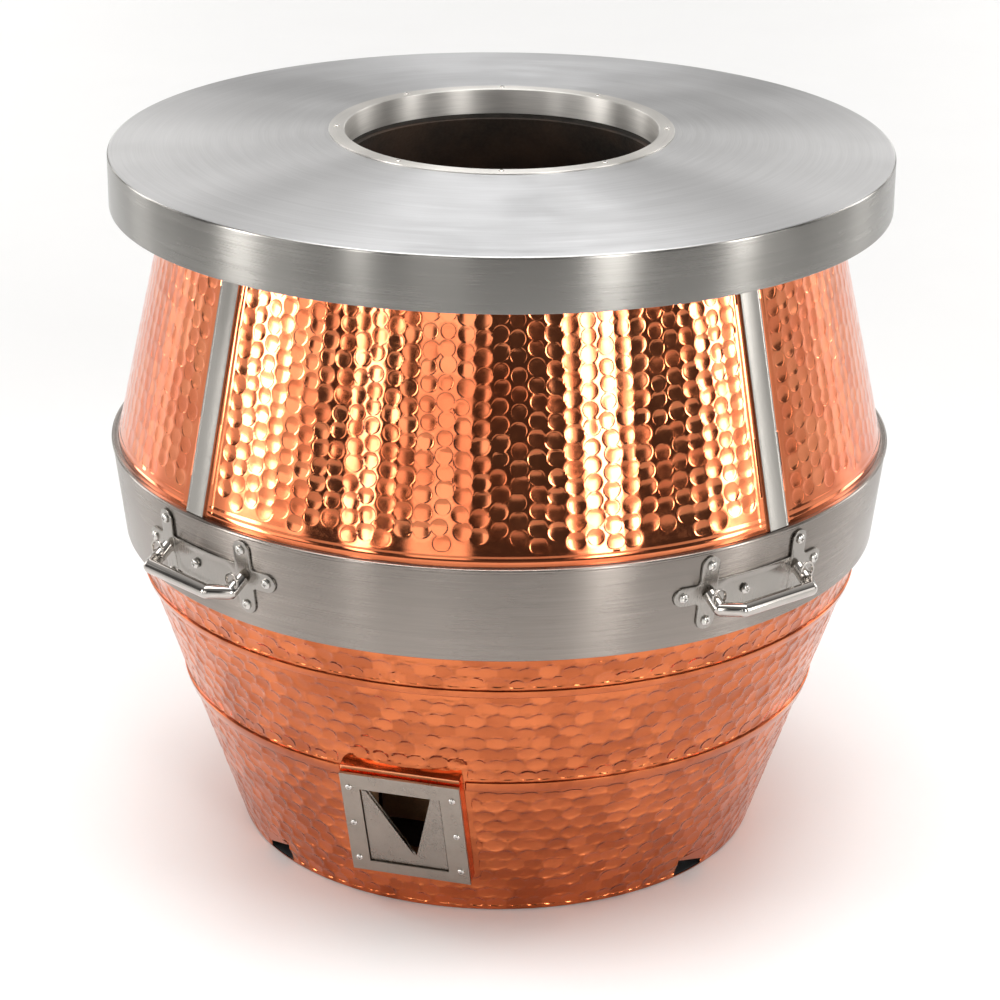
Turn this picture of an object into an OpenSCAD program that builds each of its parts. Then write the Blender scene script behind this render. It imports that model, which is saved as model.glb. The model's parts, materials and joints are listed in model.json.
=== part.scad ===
// Gas tandoor: a copper drum oven with a clay pot, a steel belly band and a round steel top.
// The origin is on the floor in the middle of the drum, +Z is up and the draught door faces -Y.
// Azimuths are in degrees, 0 at the front and positive towards +X.

/* [Drum] */
// Outer radius of the copper drum where it stands on the floor
base_r = 313; // [309:0.5:316]
// Outer radius of the lower copper where it runs under the belly band
belly_r = 438; // [436:0.5:439]
// Height of the belly band's lower edge above the floor
band_z = 374; // [368:1:380]
// Height of the belly band
band_h = 111; // [107:1:115]
// Radial room between the lower copper and the belly band's outer face
band_stand_off = 6.2; // [6:0.1:7]
// Outer radius of the upper copper where it meets the belly band
shoulder_r = 449.5; // [447:0.5:450]
// Width of the steel ledge between the upper copper and the band's rim
ledge_w = 8.2; // [7.5:0.1:9]
// Outer radius of the upper copper under the top plate
neck_r = 386; // [382:1:390]
// Height of the upper copper cone
upper_h = 279; // [270:1:288]
// Thickness of the copper sheet
copper_t = 1.6; // [1.2:0.1:2]
// Thickness of the steel sheet
steel_t = 2.5; // [2:0.1:3]

/* [Top plate] */
// Outer radius of the top plate
top_r = 450; // [446:1:454]
// Height of the top plate's skirt
skirt_h = 61; // [56:1:66]
// Rise of the top plate from its skirt to the mouth flange
top_rise = 16; // [12:1:20]
// Radius of the mouth, where a lid or cover seats
mouth_r = 180; // [178:0.5:182]
// Width of the mouth flange
flange_w = 18; // [16:0.5:20]
// Depth of the polished throat below the top of the flange
throat_depth = 30; // [27:1:33]

/* [Seams] */
// Height of the lower edge of the lower seam rib
seam_low_z = 184; // [182:1:187]
// Height of the lower seam rib
seam_low_h = 13; // [11:0.5:15]
// Height of the lower edge of the upper seam rib
seam_high_z = 320; // [312:1:328]
// Height of the upper seam rib
seam_high_h = 10; // [8:0.5:12]
// Distance that a seam rib stands proud of the copper
seam_proud = 2.8; // [2.4:0.1:3.4]
// Width of the cover strips over the joints of the upper panels
strip_w = 29; // [26:0.5:32]
// Thickness of the cover strips
strip_t = 3; // [2.5:0.1:4]
// Azimuth of the first cover strip
strip_az = 42.5; // [40:0.5:45]

/* [Air inlets] */
// Width of each air inlet at the foot of the drum
vent_w = 48; // [44:1:52]
// Height of the top edge of the air inlets
vent_top_z = 28; // [25:0.5:31]
// Height of the copper strip left under the air inlets
vent_sill_h = 3; // [2:0.5:4]

/* [Handles] */
// Azimuth of the front left handle, with a rear one opposite
handle_left_az = -45.5; // [-48:0.5:-43]
// Azimuth of the front right handle, with a rear one opposite
handle_right_az = 38; // [36:0.5:42]
// Height of the handle legs
handle_z = 434; // [431:0.5:437]
// Distance between the legs of a handle
handle_pitch = 128; // [120:1:134]
// Radius of the handle bar
bar_r = 8; // [7:0.25:9]
// Distance from the handle plate to the middle of the grip
grip_reach = 52; // [48:1:56]
// Drop of the grip below the legs
grip_drop = 18; // [14:1:22]

/* [Draught door] */
// Azimuth of the draught door
door_az = -16.2; // [-18:0.5:-14]
// Height of the middle of the door frame
door_z = 127; // [125:0.5:129]
// Distance from the copper to the front face of the door frame
door_proud = 11; // [10:0.5:13]
// Width of the door frame
door_w = 140; // [136:1:144]
// Height of the door frame along the drum's slope
door_h = 152; // [148:1:156]
// Thickness of the door frame
frame_t = 3; // [2.5:0.1:3.5]
// Thickness of the swinging leaf
leaf_t = 2; // [1.6:0.1:2.2]
// Travel of the draught shutter
shutter_travel = 30; // [26:1:32]
// Rise of the draught shutter's tip, as an angle from the leaf
shutter_lift = 2.2; // [1.6:0.1:2.6]

/* [Clay pot] */
// Outer radius of the clay pot at its belly
pot_belly_r = 322; // [312:1:328]
// Outer radius of the clay pot at its foot
pot_foot_r = 246; // [240:1:252]
// Height of the belly above the foot of the pot
pot_belly_h = 250; // [235:1:265]
// Wall of the clay pot
pot_wall = 38; // [34:1:42]
// Height of the plate that the pot stands on
deck_z = 215; // [213:1:218]

/* [Burner] */
// Radius of the burner head
burner_r = 90; // [80:1:96]
// Height of the burner head's axis of feed
feed_z = 120; // [116:1:124]
// Outer radius of the venturi tube
venturi_r = 20; // [18:0.5:21]
// Number of burner ports
port_count = 18; // [12:1:24]

/* [Gas controls] */
// Width of the control box at the rear
box_w = 150; // [144:1:160]
// Height of the control box
box_h = 92; // [88:1:100]
// Distance that the control plate stands out from the lower copper's mean radius
box_reach = 40.5; // [36.5:0.5:44.5]
// Radius of the gas knob
knob_r = 23; // [20:0.5:25]
// Push travel of the gas knob
knob_push = 4; // [3:0.5:5]
// Travel of the igniter button
button_push = 5; // [4:0.5:6]
// Radius of the gas inlet's thread
inlet_r = 10.5; // [10.5:0.05:10.6]

/* [Hidden] */

// Facets of the preview on round shapes, and on the cones that trim thin pieces
$fn = 96;
fine_fn = 360;

// Overrun of every cut past the face it opens
over = 1;
// Clearance between nested sheets
seat_gap = 0.3;
// Clearance between turning or sliding pieces and what guides them
run_gap = 0.05;
// Clearance of a cut round a piece that passes through it
pass_gap = 1;

// Radii of the drum at a height
function lower_r(z) = base_r + (belly_r - base_r) * z / band_z;
function band_r(z) = band_low_r + (band_top_r - band_low_r) * (z - band_z) / band_h;
function upper_r(z) = shoulder_r + (neck_r - shoulder_r) * (z - shoulder_z) / upper_h;
// Height of the top plate's outer face at a radius
function top_z(r) = rim_z + top_rise * (top_r - r) / (top_r - collar_r);

band_low_r = belly_r + band_stand_off;
band_top_r = shoulder_r + ledge_w;
shoulder_z = band_z + band_h;
neck_z = shoulder_z + upper_h;
rim_z = neck_z + skirt_h;
collar_r = mouth_r + flange_w;
flange_t = 2;
mouth_z = rim_z + top_rise + flange_t;
throat_z = mouth_z - throat_depth;
slope_lower = atan((belly_r - base_r) / band_z);

// Base ring and floor pan
ring_t = 4;
base_flange_w = 40;
floor_z = 40;
pan_t = 1.5;
pan_hole_r = 66;

// Uprights
upright_span = 6;
upright_t = 5;
bottom_sheet_z = 1.5;

// Belly band and its inner ring
course_tuck = 9;
ring_web_gap = 12;
shelf_w = 26;
band_lip_r = 2.4;
band_ledge_t = 3;

// Neck ring
neck_ring_h = 24;
neck_flange_in = 34;

// Top
top_corner_r = 3;
soffit_t = 2;
soffit_w = 97.1;
soffit_r = top_r - steel_t - seat_gap;
hoop_in = 28;
collar_wall = 2.5;
foot_w = 25;
collar_screw_azimuths = [0, 37, 90, 143, 180, 217, 270, 323];
seal_h = 4.8;

// Pot
deck_t = 4;
pot_step = 4;
pot_steps = 9;
pot_top_z = throat_z - seal_h - 2 * seat_gap;
pot_foot_z = deck_z + deck_t;
pot_mouth_r = mouth_r - pot_step;
deck_hole_r = 150;
deck_rim_gap = 8;
leg_inset = 51;
leg_ring_r = base_r - leg_inset;
leg_w = 30;
leg_wall = 3;
fill_gap = 1;
deflector_r = 176;
deflector_t = 4;
deflector_rise = 16;
stud_ring_r = 163;
stud_r = 5;
stud_h = 32;

// Vents and handles stand at these azimuths
vent_azimuths = [-54, 46, 126, 226];
vent_sides = [1, -1, 1, -1];
strip_azimuths = [strip_az - 90, strip_az, strip_az + 90, strip_az + 180];
handle_azimuths = [handle_left_az, handle_right_az, handle_left_az + 180, handle_right_az + 180];

// Vent tongue
tongue_back = 5;
tongue_lean = 12;
ring_vent_margin = 3;

// Handle plates
plate_t = 2.5;
lobe_r = 11;
lobe_rise = 33;
ear_reach = 31;
bridge_top = 14;
bridge_low = 27;
dish_r = 19;
dish_depth = 1.2;
bridge_bolt_x = 14;
screw_shank_r = 3;
screw_shank = 6;
screw_head_r = 5.6;
screw_head_h = 3.4;
ferrule_r = 10.2;
ferrule_w = 3;
ferrule_out = 15;
bend_r = 16;
leg_straight = 22;

// Door frame opening, measured from the frame's middle
open_left = 48.3;
open_right = 45.7;
open_top = 54;
open_low = 60.5;
frame_screw_x = 60.5;
frame_screw_rise = 56;
frame_screw_r = 3.9;
frame_screw_h = 2.4;
frame_shank_r = 2;
frame_shank = 5;

// Leaf and its hinge
leaf_gap_left = 0.9;
leaf_gap_right = 1.5;
leaf_gap_top = 0.8;
leaf_gap_low = 1.1;
leaf_recess = 2.5;
knuckle_r = 2.4;
pin_r = 1.2;
hinge_inset = 4.3;
lug_w = 7;
lug_h = 4;
lug_gap = 0.5;
v_left = 39.2;
v_right = 34.3;
v_tip_x = 8.6;
v_tip_y = -43.1;

// Shutter
shutter_t = 1.2;
shutter_float = 0.3;
shutter_edge = 45.3;
shutter_low = 40.9;
shutter_top = 51.8;
shutter_notch = 5.9;
guide_r = 2;
guide_x = -36.5;
guide_low_y = -35;
guide_high_y = -22;
nut_r = 4;
nut_t = 1.6;

// Duct through the shell
duct_margin = 8;
duct_t = 1.5;
duct_depth = 64;
box_inset = 0.5;
lip_gap = 2.6;
lip_h = 5;
lip_drop = 5.5;
baffle_back = 30;
baffle_w = 124;
baffle_low_z = 80;
baffle_t = 2;

// Burner
burner_h = 30;
burner_wall = 5;
port_r = 1.6;
stand_ring_w = 14;
stand_ring_h = 6;
stand_leg_w = 12;
venturi_wall = 2.5;
venturi_start = 84;
injector_room = 42;
venturi_cap = 5;
bell_flare = 5;
window_from_end = 26;
window_len = 18;
window_angle = 50;
sleeve_t = 2.5;
sleeve_extra = 4;
injector_r = 6;
injector_len = 26;
injector_tip_r = 3;
pipe_r = 5;
pipe_run = 35;

// Gas controls
box_t = 1.5;
box_z = feed_z + 4;
plate_y = lower_r(band_z / 2) + box_reach;
knob_x = 42;
button_x = -6;
inlet_x = -50;
control_row_z = box_z + 6;
tap_w = 30;
tap_front = 9;
tap_depth = 34;
plug_r = 7;
stem_r = 4;
stem_depth = 14;
knob_h = 20;
knob_gap = 0.6;
grip_w = 9;
pointer_w = 2;
igniter_r = 11;
igniter_len = 34;
igniter_collar_r = 14;
igniter_collar_h = 3;
button_r = 7;
button_stem_r = 4;
button_head = 3.5;
inlet_len = 24;
inlet_drop = 24;
inlet_z = box_z - inlet_drop;
inlet_nut_r = 15;
inlet_nut_h = 8;
elbow_in = 24;
manifold_r = 8;
service_w = 124;
pilot_az = 147;
pilot_clear = 10;
pilot_ring_r = burner_r + pilot_clear;
pilot_x = pilot_ring_r * sin(pilot_az);
pilot_y = -pilot_ring_r * cos(pilot_az);
pilot_z = 142;
pilot_r = 6;
pilot_h = 24;
pilot_pipe_r = 3;

// A sheet that follows a slope: its outer face runs through two radii at two heights
module cone_sheet(z_low, z_high, r_low, r_high, t, span = 360)
    rotate([0, 0, -90 - span / 2])
        rotate_extrude(angle = span)
            polygon([[r_low - t, z_low], [r_low, z_low], [r_high, z_high], [r_high - t, z_high]]);

// The solid inside a slope, used to trim pieces that sit on the drum
module lower_solid(grow)
    rotate_extrude($fn = fine_fn)
        polygon([[0, -over], [lower_r(-over) + grow, -over], [belly_r + grow, band_z], [0, band_z]]);

module band_solid(grow)
    rotate_extrude($fn = fine_fn)
        polygon([[0, band_z], [band_low_r + grow, band_z], [band_top_r + grow, shoulder_z], [0, shoulder_z]]);

// Turns a piece drawn at the front to its azimuth
module at_azimuth(az) rotate([0, 0, az]) children();

// A cylinder that points outwards at the front, its root at the origin
module outward(r, h) rotate([90, 0, 0]) cylinder(r = r, h = h);

// A straight rod between two points
module rod(from, to, r) {
    step = to - from;
    length = norm(step);
    translate(from)
        rotate([0, acos(step[2] / length), atan2(step[1], step[0])])
            cylinder(r = r, h = length);
}

// A pan head with a crossed recess, its seat at the origin and its top along +Z
module pan_head(r, h) {
    shoulder = h / 2;
    crown_r = r * crown_share;
    difference() {
        rotate_extrude()
            polygon([[0, 0], [r, 0], [r, shoulder], [(r + crown_r) / 2, h * crown_rise_share],
                     [crown_r, h], [0, h]]);
        for (turn = [0, 90])
            rotate([0, 0, turn])
                translate([-r * cross_share, -r * slot_share / 2, h * slot_floor_share])
                    cube([2 * r * cross_share, r * slot_share, h]);
    }
}
crown_share = 0.55;
crown_rise_share = 0.86;
cross_share = 0.5;
slot_share = 0.22;
slot_floor_share = 0.6;

module screw(r, h, shank_r, shank) {
    pan_head(r, h);
    translate([0, 0, -shank])
        cylinder(r = shank_r, h = shank + h * slot_floor_share / 2);
}

// Base and frame

module vent_cut(margin)
    for (az = vent_azimuths)
        at_azimuth(az)
            translate([-vent_w / 2 - margin, -belly_r, vent_sill_h])
                cube([vent_w + 2 * margin, belly_r / 2, vent_top_z + margin - vent_sill_h]);

module base_ring()
    color("#6f7274")
        difference() {
            rotate_extrude()
                polygon([
                    [lower_r(0) - copper_t - seat_gap - base_flange_w, 0],
                    [lower_r(0) - copper_t - seat_gap, 0],
                    [lower_r(floor_z) - copper_t - seat_gap, floor_z],
                    [lower_r(floor_z) - copper_t - seat_gap - ring_t, floor_z],
                    [lower_r(vent_sill_h) - copper_t - seat_gap - ring_t, vent_sill_h],
                    [lower_r(0) - copper_t - seat_gap - base_flange_w, vent_sill_h]]);
            vent_cut(ring_vent_margin);
        }

module floor_pan()
    color("#777b7d")
        rotate_extrude()
            polygon([
                [pan_hole_r, floor_z],
                [lower_r(floor_z) - copper_t - 2 * seat_gap, floor_z],
                [lower_r(floor_z) - copper_t - 2 * seat_gap, floor_z + pan_t],
                [pan_hole_r, floor_z + pan_t]]);

lower_upright_z = floor_z + pan_t;
lower_upright_top = band_z + ring_web_gap - seat_gap;

module lower_uprights()
    color("#63666a")
        for (az = strip_azimuths)
            at_azimuth(az)
                cone_sheet(lower_upright_z, lower_upright_top,
                           lower_r(lower_upright_z) - copper_t - seat_gap,
                           lower_r(lower_upright_top) - copper_t - seat_gap,
                           upright_t, upright_span);

upper_upright_z = shoulder_z - band_ledge_t - seat_gap;
upper_upright_top = neck_z - ring_t;

module upper_uprights()
    color("#63666a")
        for (az = strip_azimuths)
            at_azimuth(az)
                cone_sheet(upper_upright_z, upper_upright_top,
                           upper_r(upper_upright_z) - copper_t - seat_gap - ring_t - seat_gap,
                           upper_r(upper_upright_top) - copper_t - seat_gap - ring_t - seat_gap,
                           upright_t, upright_span);

ring_foot_z = band_z + ring_web_gap;

module belly_ring()
    color("#63666a")
        difference() {
            rotate_extrude()
                polygon([
                    [belly_web_r(ring_foot_z) - shelf_w / 2, ring_foot_z],
                    [belly_web_r(ring_foot_z), ring_foot_z],
                    [belly_web_r(upper_upright_z), upper_upright_z],
                    [belly_web_r(upper_upright_z) - shelf_w, upper_upright_z],
                    [belly_web_r(upper_upright_z) - shelf_w, upper_upright_z - ring_t],
                    [belly_web_r(upper_upright_z - ring_t) - ring_t, upper_upright_z - ring_t],
                    [belly_web_r(ring_foot_z + ring_t) - ring_t, ring_foot_z + ring_t],
                    [belly_web_r(ring_foot_z) - shelf_w / 2, ring_foot_z + ring_t]]);
            handle_fixing_holes();
        }
function belly_web_r(z) = band_r(z) - steel_t - seat_gap;

module neck_ring()
    color("#63666a")
        rotate_extrude()
            polygon([
                [neck_web_r(neck_z - neck_ring_h) - ring_t, neck_z - neck_ring_h],
                [neck_web_r(neck_z - neck_ring_h), neck_z - neck_ring_h],
                [neck_web_r(neck_z), neck_z],
                [neck_web_r(neck_z) - neck_flange_in, neck_z],
                [neck_web_r(neck_z) - neck_flange_in, neck_z - ring_t],
                [neck_web_r(neck_z - ring_t) - ring_t, neck_z - ring_t]]);
function neck_web_r(z) = upper_r(z) - copper_t - seat_gap;

// Copper

// A rounded rib on the outside of the lower cone, its foot one clearance off the copper
module seam_rib(z_low, h) {
    round = seam_proud / 2;
    rotate_extrude()
        polygon(concat(
            [[lower_r(z_low) + seat_gap, z_low]],
            [for (a = [-90:22.5:0])
                [lower_r(z_low) + seam_proud - round + round * cos(a), z_low + round + round * sin(a)]],
            [for (a = [0:22.5:90])
                [lower_r(z_low + h) + seam_proud - round + round * cos(a),
                 z_low + h - round + round * sin(a)]],
            [[lower_r(z_low + h) - copper_t / 2, z_low + h],
             [lower_r(z_low + h - seam_lap) - copper_t / 2, z_low + h - seam_lap],
             [lower_r(z_low + h - seam_lap) + seat_gap, z_low + h - seam_lap]]));
}
seam_lap = 3;

module lower_sheet(z_low, z_high)
    cone_sheet(z_low, z_high, lower_r(z_low), lower_r(z_high), copper_t);

// The duct's outer block, in the door's azimuth
module duct_block(grow) {
    left = open_left + duct_margin + duct_t + grow;
    right = open_right + duct_margin + duct_t + grow;
    z_low = door_z - (open_low + duct_margin) * cos(slope_lower) - duct_t - grow;
    z_high = door_z + (open_top + duct_margin) * cos(slope_lower) + duct_t + grow;
    at_azimuth(door_az)
        translate([-left, -belly_r, z_low])
            cube([left + right, belly_r - duct_in_y, z_high - z_low]);
}
duct_in_y = lower_r(door_z) - duct_depth;

// The block that the door box fills outside the drum, along the drum's slope
module door_block(grow)
    at_door()
        translate([-door_w / 2 - grow, -door_h / 2 - grow, -door_depth])
            cube([door_w + 2 * grow, door_h + lip_gap + lip_h + 2 * grow, door_depth]);
door_depth = 60;

// Places children on the front face of the door frame: x right, y up the slope, z outwards
module at_door()
    at_azimuth(door_az)
        translate([0, -lower_r(door_z), door_z])
            rotate([90 + slope_lower, 0, 0])
                translate([0, 0, door_proud])
                    children();

// A folded tongue in each air inlet
module vent_tongues()
    for (i = [0:len(vent_azimuths) - 1])
        at_azimuth(vent_azimuths[i])
            mirror([vent_sides[i] > 0 ? 0 : 1, 0, 0])
                translate([0, -lower_r(vent_top_z) + copper_t / 2, vent_top_z])
                    rotate([90 + slope_lower + tongue_lean, 0, 0])
                        translate([0, 0, -copper_t])
                            linear_extrude(copper_t)
                                polygon([
                                    [-vent_w / 2, copper_t / 2],
                                    [vent_w / 2, copper_t / 2],
                                    [vent_w / 2, 0],
                                    [-vent_w / 2, vent_sill_h - vent_top_z + tongue_back]]);

module course_bottom()
    color("#b5623c") {
        difference() {
            lower_sheet(bottom_sheet_z, seam_low_z + seam_low_h - seam_lap - seat_gap);
            vent_cut(0);
            duct_block(pass_gap);
            service_cut();
        }
        vent_tongues();
    }

module course_middle()
    color("#b5623c")
        union() {
            difference() {
                lower_sheet(seam_low_z + seam_low_h - seam_lap,
                            seam_high_z + seam_high_h - seam_lap - seat_gap);
                duct_block(pass_gap);
            }
            difference() {
                seam_rib(seam_low_z, seam_low_h);
                door_block(seat_gap);
                duct_block(pass_gap);
            }
        }

module course_top()
    color("#b5623c")
        union() {
            lower_sheet(seam_high_z + seam_high_h - seam_lap, band_z + course_tuck);
            seam_rib(seam_high_z, seam_high_h);
        }

module upper_panel(index) {
    az = strip_azimuths[index] - 45;
    joint = 2 * asin(strip_w * joint_share / 2 / neck_r);
    color("#c96f3f")
        at_azimuth(az)
            cone_sheet(upper_upright_z + seat_gap, neck_z - seat_gap,
                       upper_r(upper_upright_z + seat_gap), upper_r(neck_z - seat_gap),
                       copper_t, 90 - joint);
}
joint_share = 0.3;

module panel_front() upper_panel(1);
module panel_right() upper_panel(2);
module panel_rear() upper_panel(3);
module panel_left() upper_panel(0);

module cover_strips()
    color("#b9b4ab")
        for (az = strip_azimuths)
            at_azimuth(az)
                intersection() {
                    cone_sheet(shoulder_z, neck_z - seat_gap,
                               shoulder_r + seat_gap + strip_t,
                               upper_r(neck_z - seat_gap) + seat_gap + strip_t,
                               strip_t, 4 * upright_span);
                    translate([-strip_w / 2, -2 * shoulder_r, 0])
                        cube([strip_w, 2 * shoulder_r, mouth_z]);
                }

// Belly band with a rounded rim and an inward ledge
module belly_band()
    color("#a79c8f")
        difference() {
            rotate_extrude()
                polygon(concat(
                    [[band_low_r - steel_t, band_z], [band_low_r, band_z],
                     [band_r(shoulder_z - 2 * band_lip_r) - band_lip_r / 4, shoulder_z - 2 * band_lip_r]],
                    [for (a = [-60:15:90])
                        [band_top_r - band_lip_r + band_lip_r * cos(a),
                         shoulder_z - band_lip_r + band_lip_r * sin(a)]],
                    [[upper_r(shoulder_z) + seat_gap, shoulder_z],
                     [upper_r(shoulder_z - band_ledge_t) + seat_gap, shoulder_z - band_ledge_t],
                     [band_r(shoulder_z - band_ledge_t) - steel_t, shoulder_z - band_ledge_t]]));
            handle_fixing_holes();
        }

// Top

module top_plate()
    color("#c4c5c6")
        difference() {
            rotate_extrude()
                polygon(concat(
                    [[top_r - steel_t, neck_z], [top_r, neck_z]],
                    [for (a = [0:15:90])
                        [top_r - top_corner_r + top_corner_r * cos(a),
                         rim_z - top_corner_r + top_corner_r * sin(a)]],
                    [[collar_r, top_z(collar_r)],
                     [top_hole_r, top_z(collar_r)],
                     [top_hole_r, top_z(collar_r) - steel_t],
                     [collar_r, top_z(collar_r) - steel_t],
                     [top_r - top_corner_r, rim_z - steel_t],
                     [top_r - steel_t, rim_z - top_corner_r]]));
            collar_screw_holes();
        }
top_hole_r = mouth_r + collar_wall + seat_gap;

module top_hoop() {
    r = neck_r - hoop_in;
    color("#63666a")
        rotate_extrude()
            polygon([
                [r - ring_t, neck_z + soffit_t],
                [r, neck_z + soffit_t],
                [r, top_z(r) - steel_t - seat_gap],
                [r - ring_t, top_z(r) - steel_t - seat_gap]]);
}

module top_soffit() {
    inner = soffit_r - soffit_w;
    color("#9b9c9c")
        rotate_extrude()
            polygon([[inner, neck_z], [soffit_r, neck_z],
                     [soffit_r, neck_z + soffit_t], [inner, neck_z + soffit_t]]);
}

module mouth_collar()
    color("#b4afa8")
        difference() {
            rotate_extrude()
                polygon([
                    [mouth_r, throat_z],
                    [mouth_r + foot_w, throat_z],
                    [mouth_r + foot_w, throat_z + flange_t],
                    [mouth_r + collar_wall, throat_z + flange_t],
                    [mouth_r + collar_wall, mouth_z - flange_t],
                    [collar_r, mouth_z - flange_t],
                    [collar_r, mouth_z - flange_t / 2],
                    [collar_r - flange_t / 2, mouth_z],
                    [mouth_r, mouth_z]]);
            collar_screw_holes();
        }

// Places children on the mouth flange, at each of its screws
module collar_screw_places()
    for (az = collar_screw_azimuths)
        at_azimuth(az)
            translate([0, -(mouth_r + collar_r) / 2, mouth_z])
                children();

module collar_screw_holes()
    collar_screw_places()
        cylinder(r = frame_shank_r + run_gap, h = 4 * flange_t + 2 * steel_t, center = true);

module collar_screws()
    color("#c9c7c4")
        collar_screw_places()
            screw(collar_head_r, collar_head_h, frame_shank_r, flange_t + 2 * steel_t);
collar_head_r = 3.4;
collar_head_h = 1.6;

module mouth_seal() {
    inner = mouth_r + collar_wall;
    outer = mouth_r + foot_w - collar_wall;
    low = pot_top_z + seat_gap;
    color("#d8d2c4")
        rotate_extrude()
            polygon([[inner, low], [outer, low], [outer, low + seal_h], [inner, low + seal_h]]);
}

// Clay pot

// Outer radius of the pot: two quarter waves that meet at the belly
pot_neck_r = pot_mouth_r + pot_wall;
pot_belly_z = pot_foot_z + pot_belly_h;
pot_upper_h = pot_top_z - pot_belly_z;
function pot_r(z) = z < pot_belly_z
    ? pot_foot_r + (pot_belly_r - pot_foot_r) * cos(90 * (pot_belly_z - z) / pot_belly_h)
    : pot_neck_r + (pot_belly_r - pot_neck_r) * cos(90 * (z - pot_belly_z) / pot_upper_h);

module clay_pot() {
    lower = [for (i = [0:pot_steps]) pot_foot_z + pot_belly_h * i / pot_steps];
    upper = [for (i = [1:pot_steps]) pot_belly_z + pot_upper_h * i / pot_steps];
    heights = concat(lower, upper);
    last = len(heights) - 1;
    color("#8a6a50")
        rotate_extrude()
            polygon(concat(
                [for (z = heights) [pot_r(z), z]],
                [for (i = [0:last]) [pot_r(heights[last - i]) - pot_wall, heights[last - i]]]));
}

module pot_deck() {
    outer = lower_r(deck_z) - copper_t - upright_t - deck_rim_gap / 2;
    color("#6b6460")
        rotate_extrude()
            polygon([[deck_hole_r, deck_z], [outer, deck_z], [outer, pot_foot_z], [deck_hole_r, pot_foot_z]]);
}

module pot_legs()
    color("#6b6460")
        for (az = [45:90:315])
            at_azimuth(az)
                translate([-leg_w / 2, -leg_ring_r - leg_w / 2, lower_upright_z])
                    difference() {
                        cube([leg_w, leg_w, deck_z - lower_upright_z]);
                        translate([leg_wall, leg_wall, -over])
                            cube([leg_w - 2 * leg_wall, leg_w - 2 * leg_wall, deck_z]);
                    }

module insulation_fill() {
    low = pot_foot_z;
    high = neck_z - neck_ring_h - fill_gap;
    step_r = min(neck_web_r(neck_z) - neck_flange_in, soffit_r - soffit_w) - fill_gap;
    lower = [for (i = [0:pot_steps]) pot_foot_z + pot_belly_h * i / pot_steps];
    upper = [for (i = [1:pot_steps - 1]) pot_belly_z + pot_upper_h * i / pot_steps];
    heights = concat(lower, upper);
    head_z = heights[len(heights) - 1];
    color("#d9d3b8")
        rotate_extrude()
            polygon(concat(
                [for (z = heights) [pot_r(z) + seat_gap, z]],
                [[step_r, head_z],
                 [step_r, high],
                 [upper_r(high) - fill_skin, high],
                 [upper_r(shoulder_z) - fill_skin, shoulder_z],
                 [lower_r(band_z) - fill_skin - shelf_w / 2, shoulder_z - ring_t - fill_gap - band_ledge_t],
                 [lower_r(band_z) - fill_skin - shelf_w / 2, band_z],
                 [lower_r(low) - fill_skin, low]]));
}
fill_skin = copper_t + upright_t + ring_t + deck_rim_gap;

module flame_deflector() {
    low = pot_foot_z + stud_h;
    color("#4b4642")
        rotate_extrude()
            polygon([
                [0, low + deflector_rise],
                [stud_ring_r - 2 * stud_r, low],
                [deflector_r, low],
                [deflector_r, low + deflector_t],
                [stud_ring_r - 2 * stud_r, low + deflector_t],
                [0, low + deflector_rise + deflector_t]]);
}

module deflector_studs()
    color("#55504c")
        for (az = [60:120:300])
            at_azimuth(az)
                translate([0, -stud_ring_r, pot_foot_z])
                    cylinder(r = stud_r, h = stud_h);

// Handles

// Flat outline of one handle plate: two upright lobes, an ear beyond each, and a bridge
module handle_outline() {
    half = handle_pitch / 2;
    for (side = [-1, 1]) {
        translate([side * half, 0]) {
            translate([-lobe_r, -lobe_rise]) square([2 * lobe_r, 2 * lobe_rise]);
            for (y = [-lobe_rise, lobe_rise]) translate([0, y]) circle(r = lobe_r);
            translate([side * ear_reach, 0]) circle(r = lobe_r);
            translate([side > 0 ? 0 : -ear_reach, -lobe_r]) square([ear_reach, 2 * lobe_r]);
        }
    }
    translate([-half, -bridge_low]) square([2 * half, bridge_low + bridge_top]);
}

module handle_plates()
    color("#a8a097")
        difference() {
            for (az = handle_azimuths)
                at_azimuth(az)
                    difference() {
                        intersection() {
                            translate([0, 0, handle_z])
                                rotate([90, 0, 0])
                                    linear_extrude(2 * band_top_r)
                                        handle_outline();
                            difference() {
                                band_solid(seat_gap + plate_t);
                                band_solid(seat_gap);
                            }
                        }
                        handle_dish();
                    }
            handle_fixing_holes();
        }

// A shallow dish in the bridge between the legs
module handle_dish() {
    reach = handle_pitch / 2 - lobe_r - dish_r;
    face = band_r(handle_z - lobe_r) + seat_gap + plate_t - dish_depth;
    low_y = (bridge_top - bridge_low) / 2;
    intersection() {
        translate([0, 0, handle_z + low_y])
            rotate([90, 0, 0])
                linear_extrude(2 * band_top_r) {
                    for (x = [-reach, reach]) translate([x, 0]) circle(r = dish_r);
                    translate([-reach, -dish_r]) square([2 * reach, 2 * dish_r]);
                }
        rotate_extrude($fn = fine_fn)
            polygon([
                [face + (band_r(band_z) - band_r(handle_z - lobe_r)), band_z],
                [face + lobe_r * 2, band_z],
                [face + lobe_r * 2, shoulder_z],
                [face + (band_r(shoulder_z) - band_r(handle_z - lobe_r)), shoulder_z]]);
    }
}

// Stations of the screws of one handle: [across, up] from the middle of the legs
handle_screw_spots = [
    [-handle_pitch / 2, lobe_rise], [handle_pitch / 2, lobe_rise],
    [-handle_pitch / 2, -lobe_rise], [handle_pitch / 2, -lobe_rise],
    [-handle_pitch / 2 - ear_reach, 0], [handle_pitch / 2 + ear_reach, 0],
    [-bridge_bolt_x, (bridge_top - bridge_low) / 2]];

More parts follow.
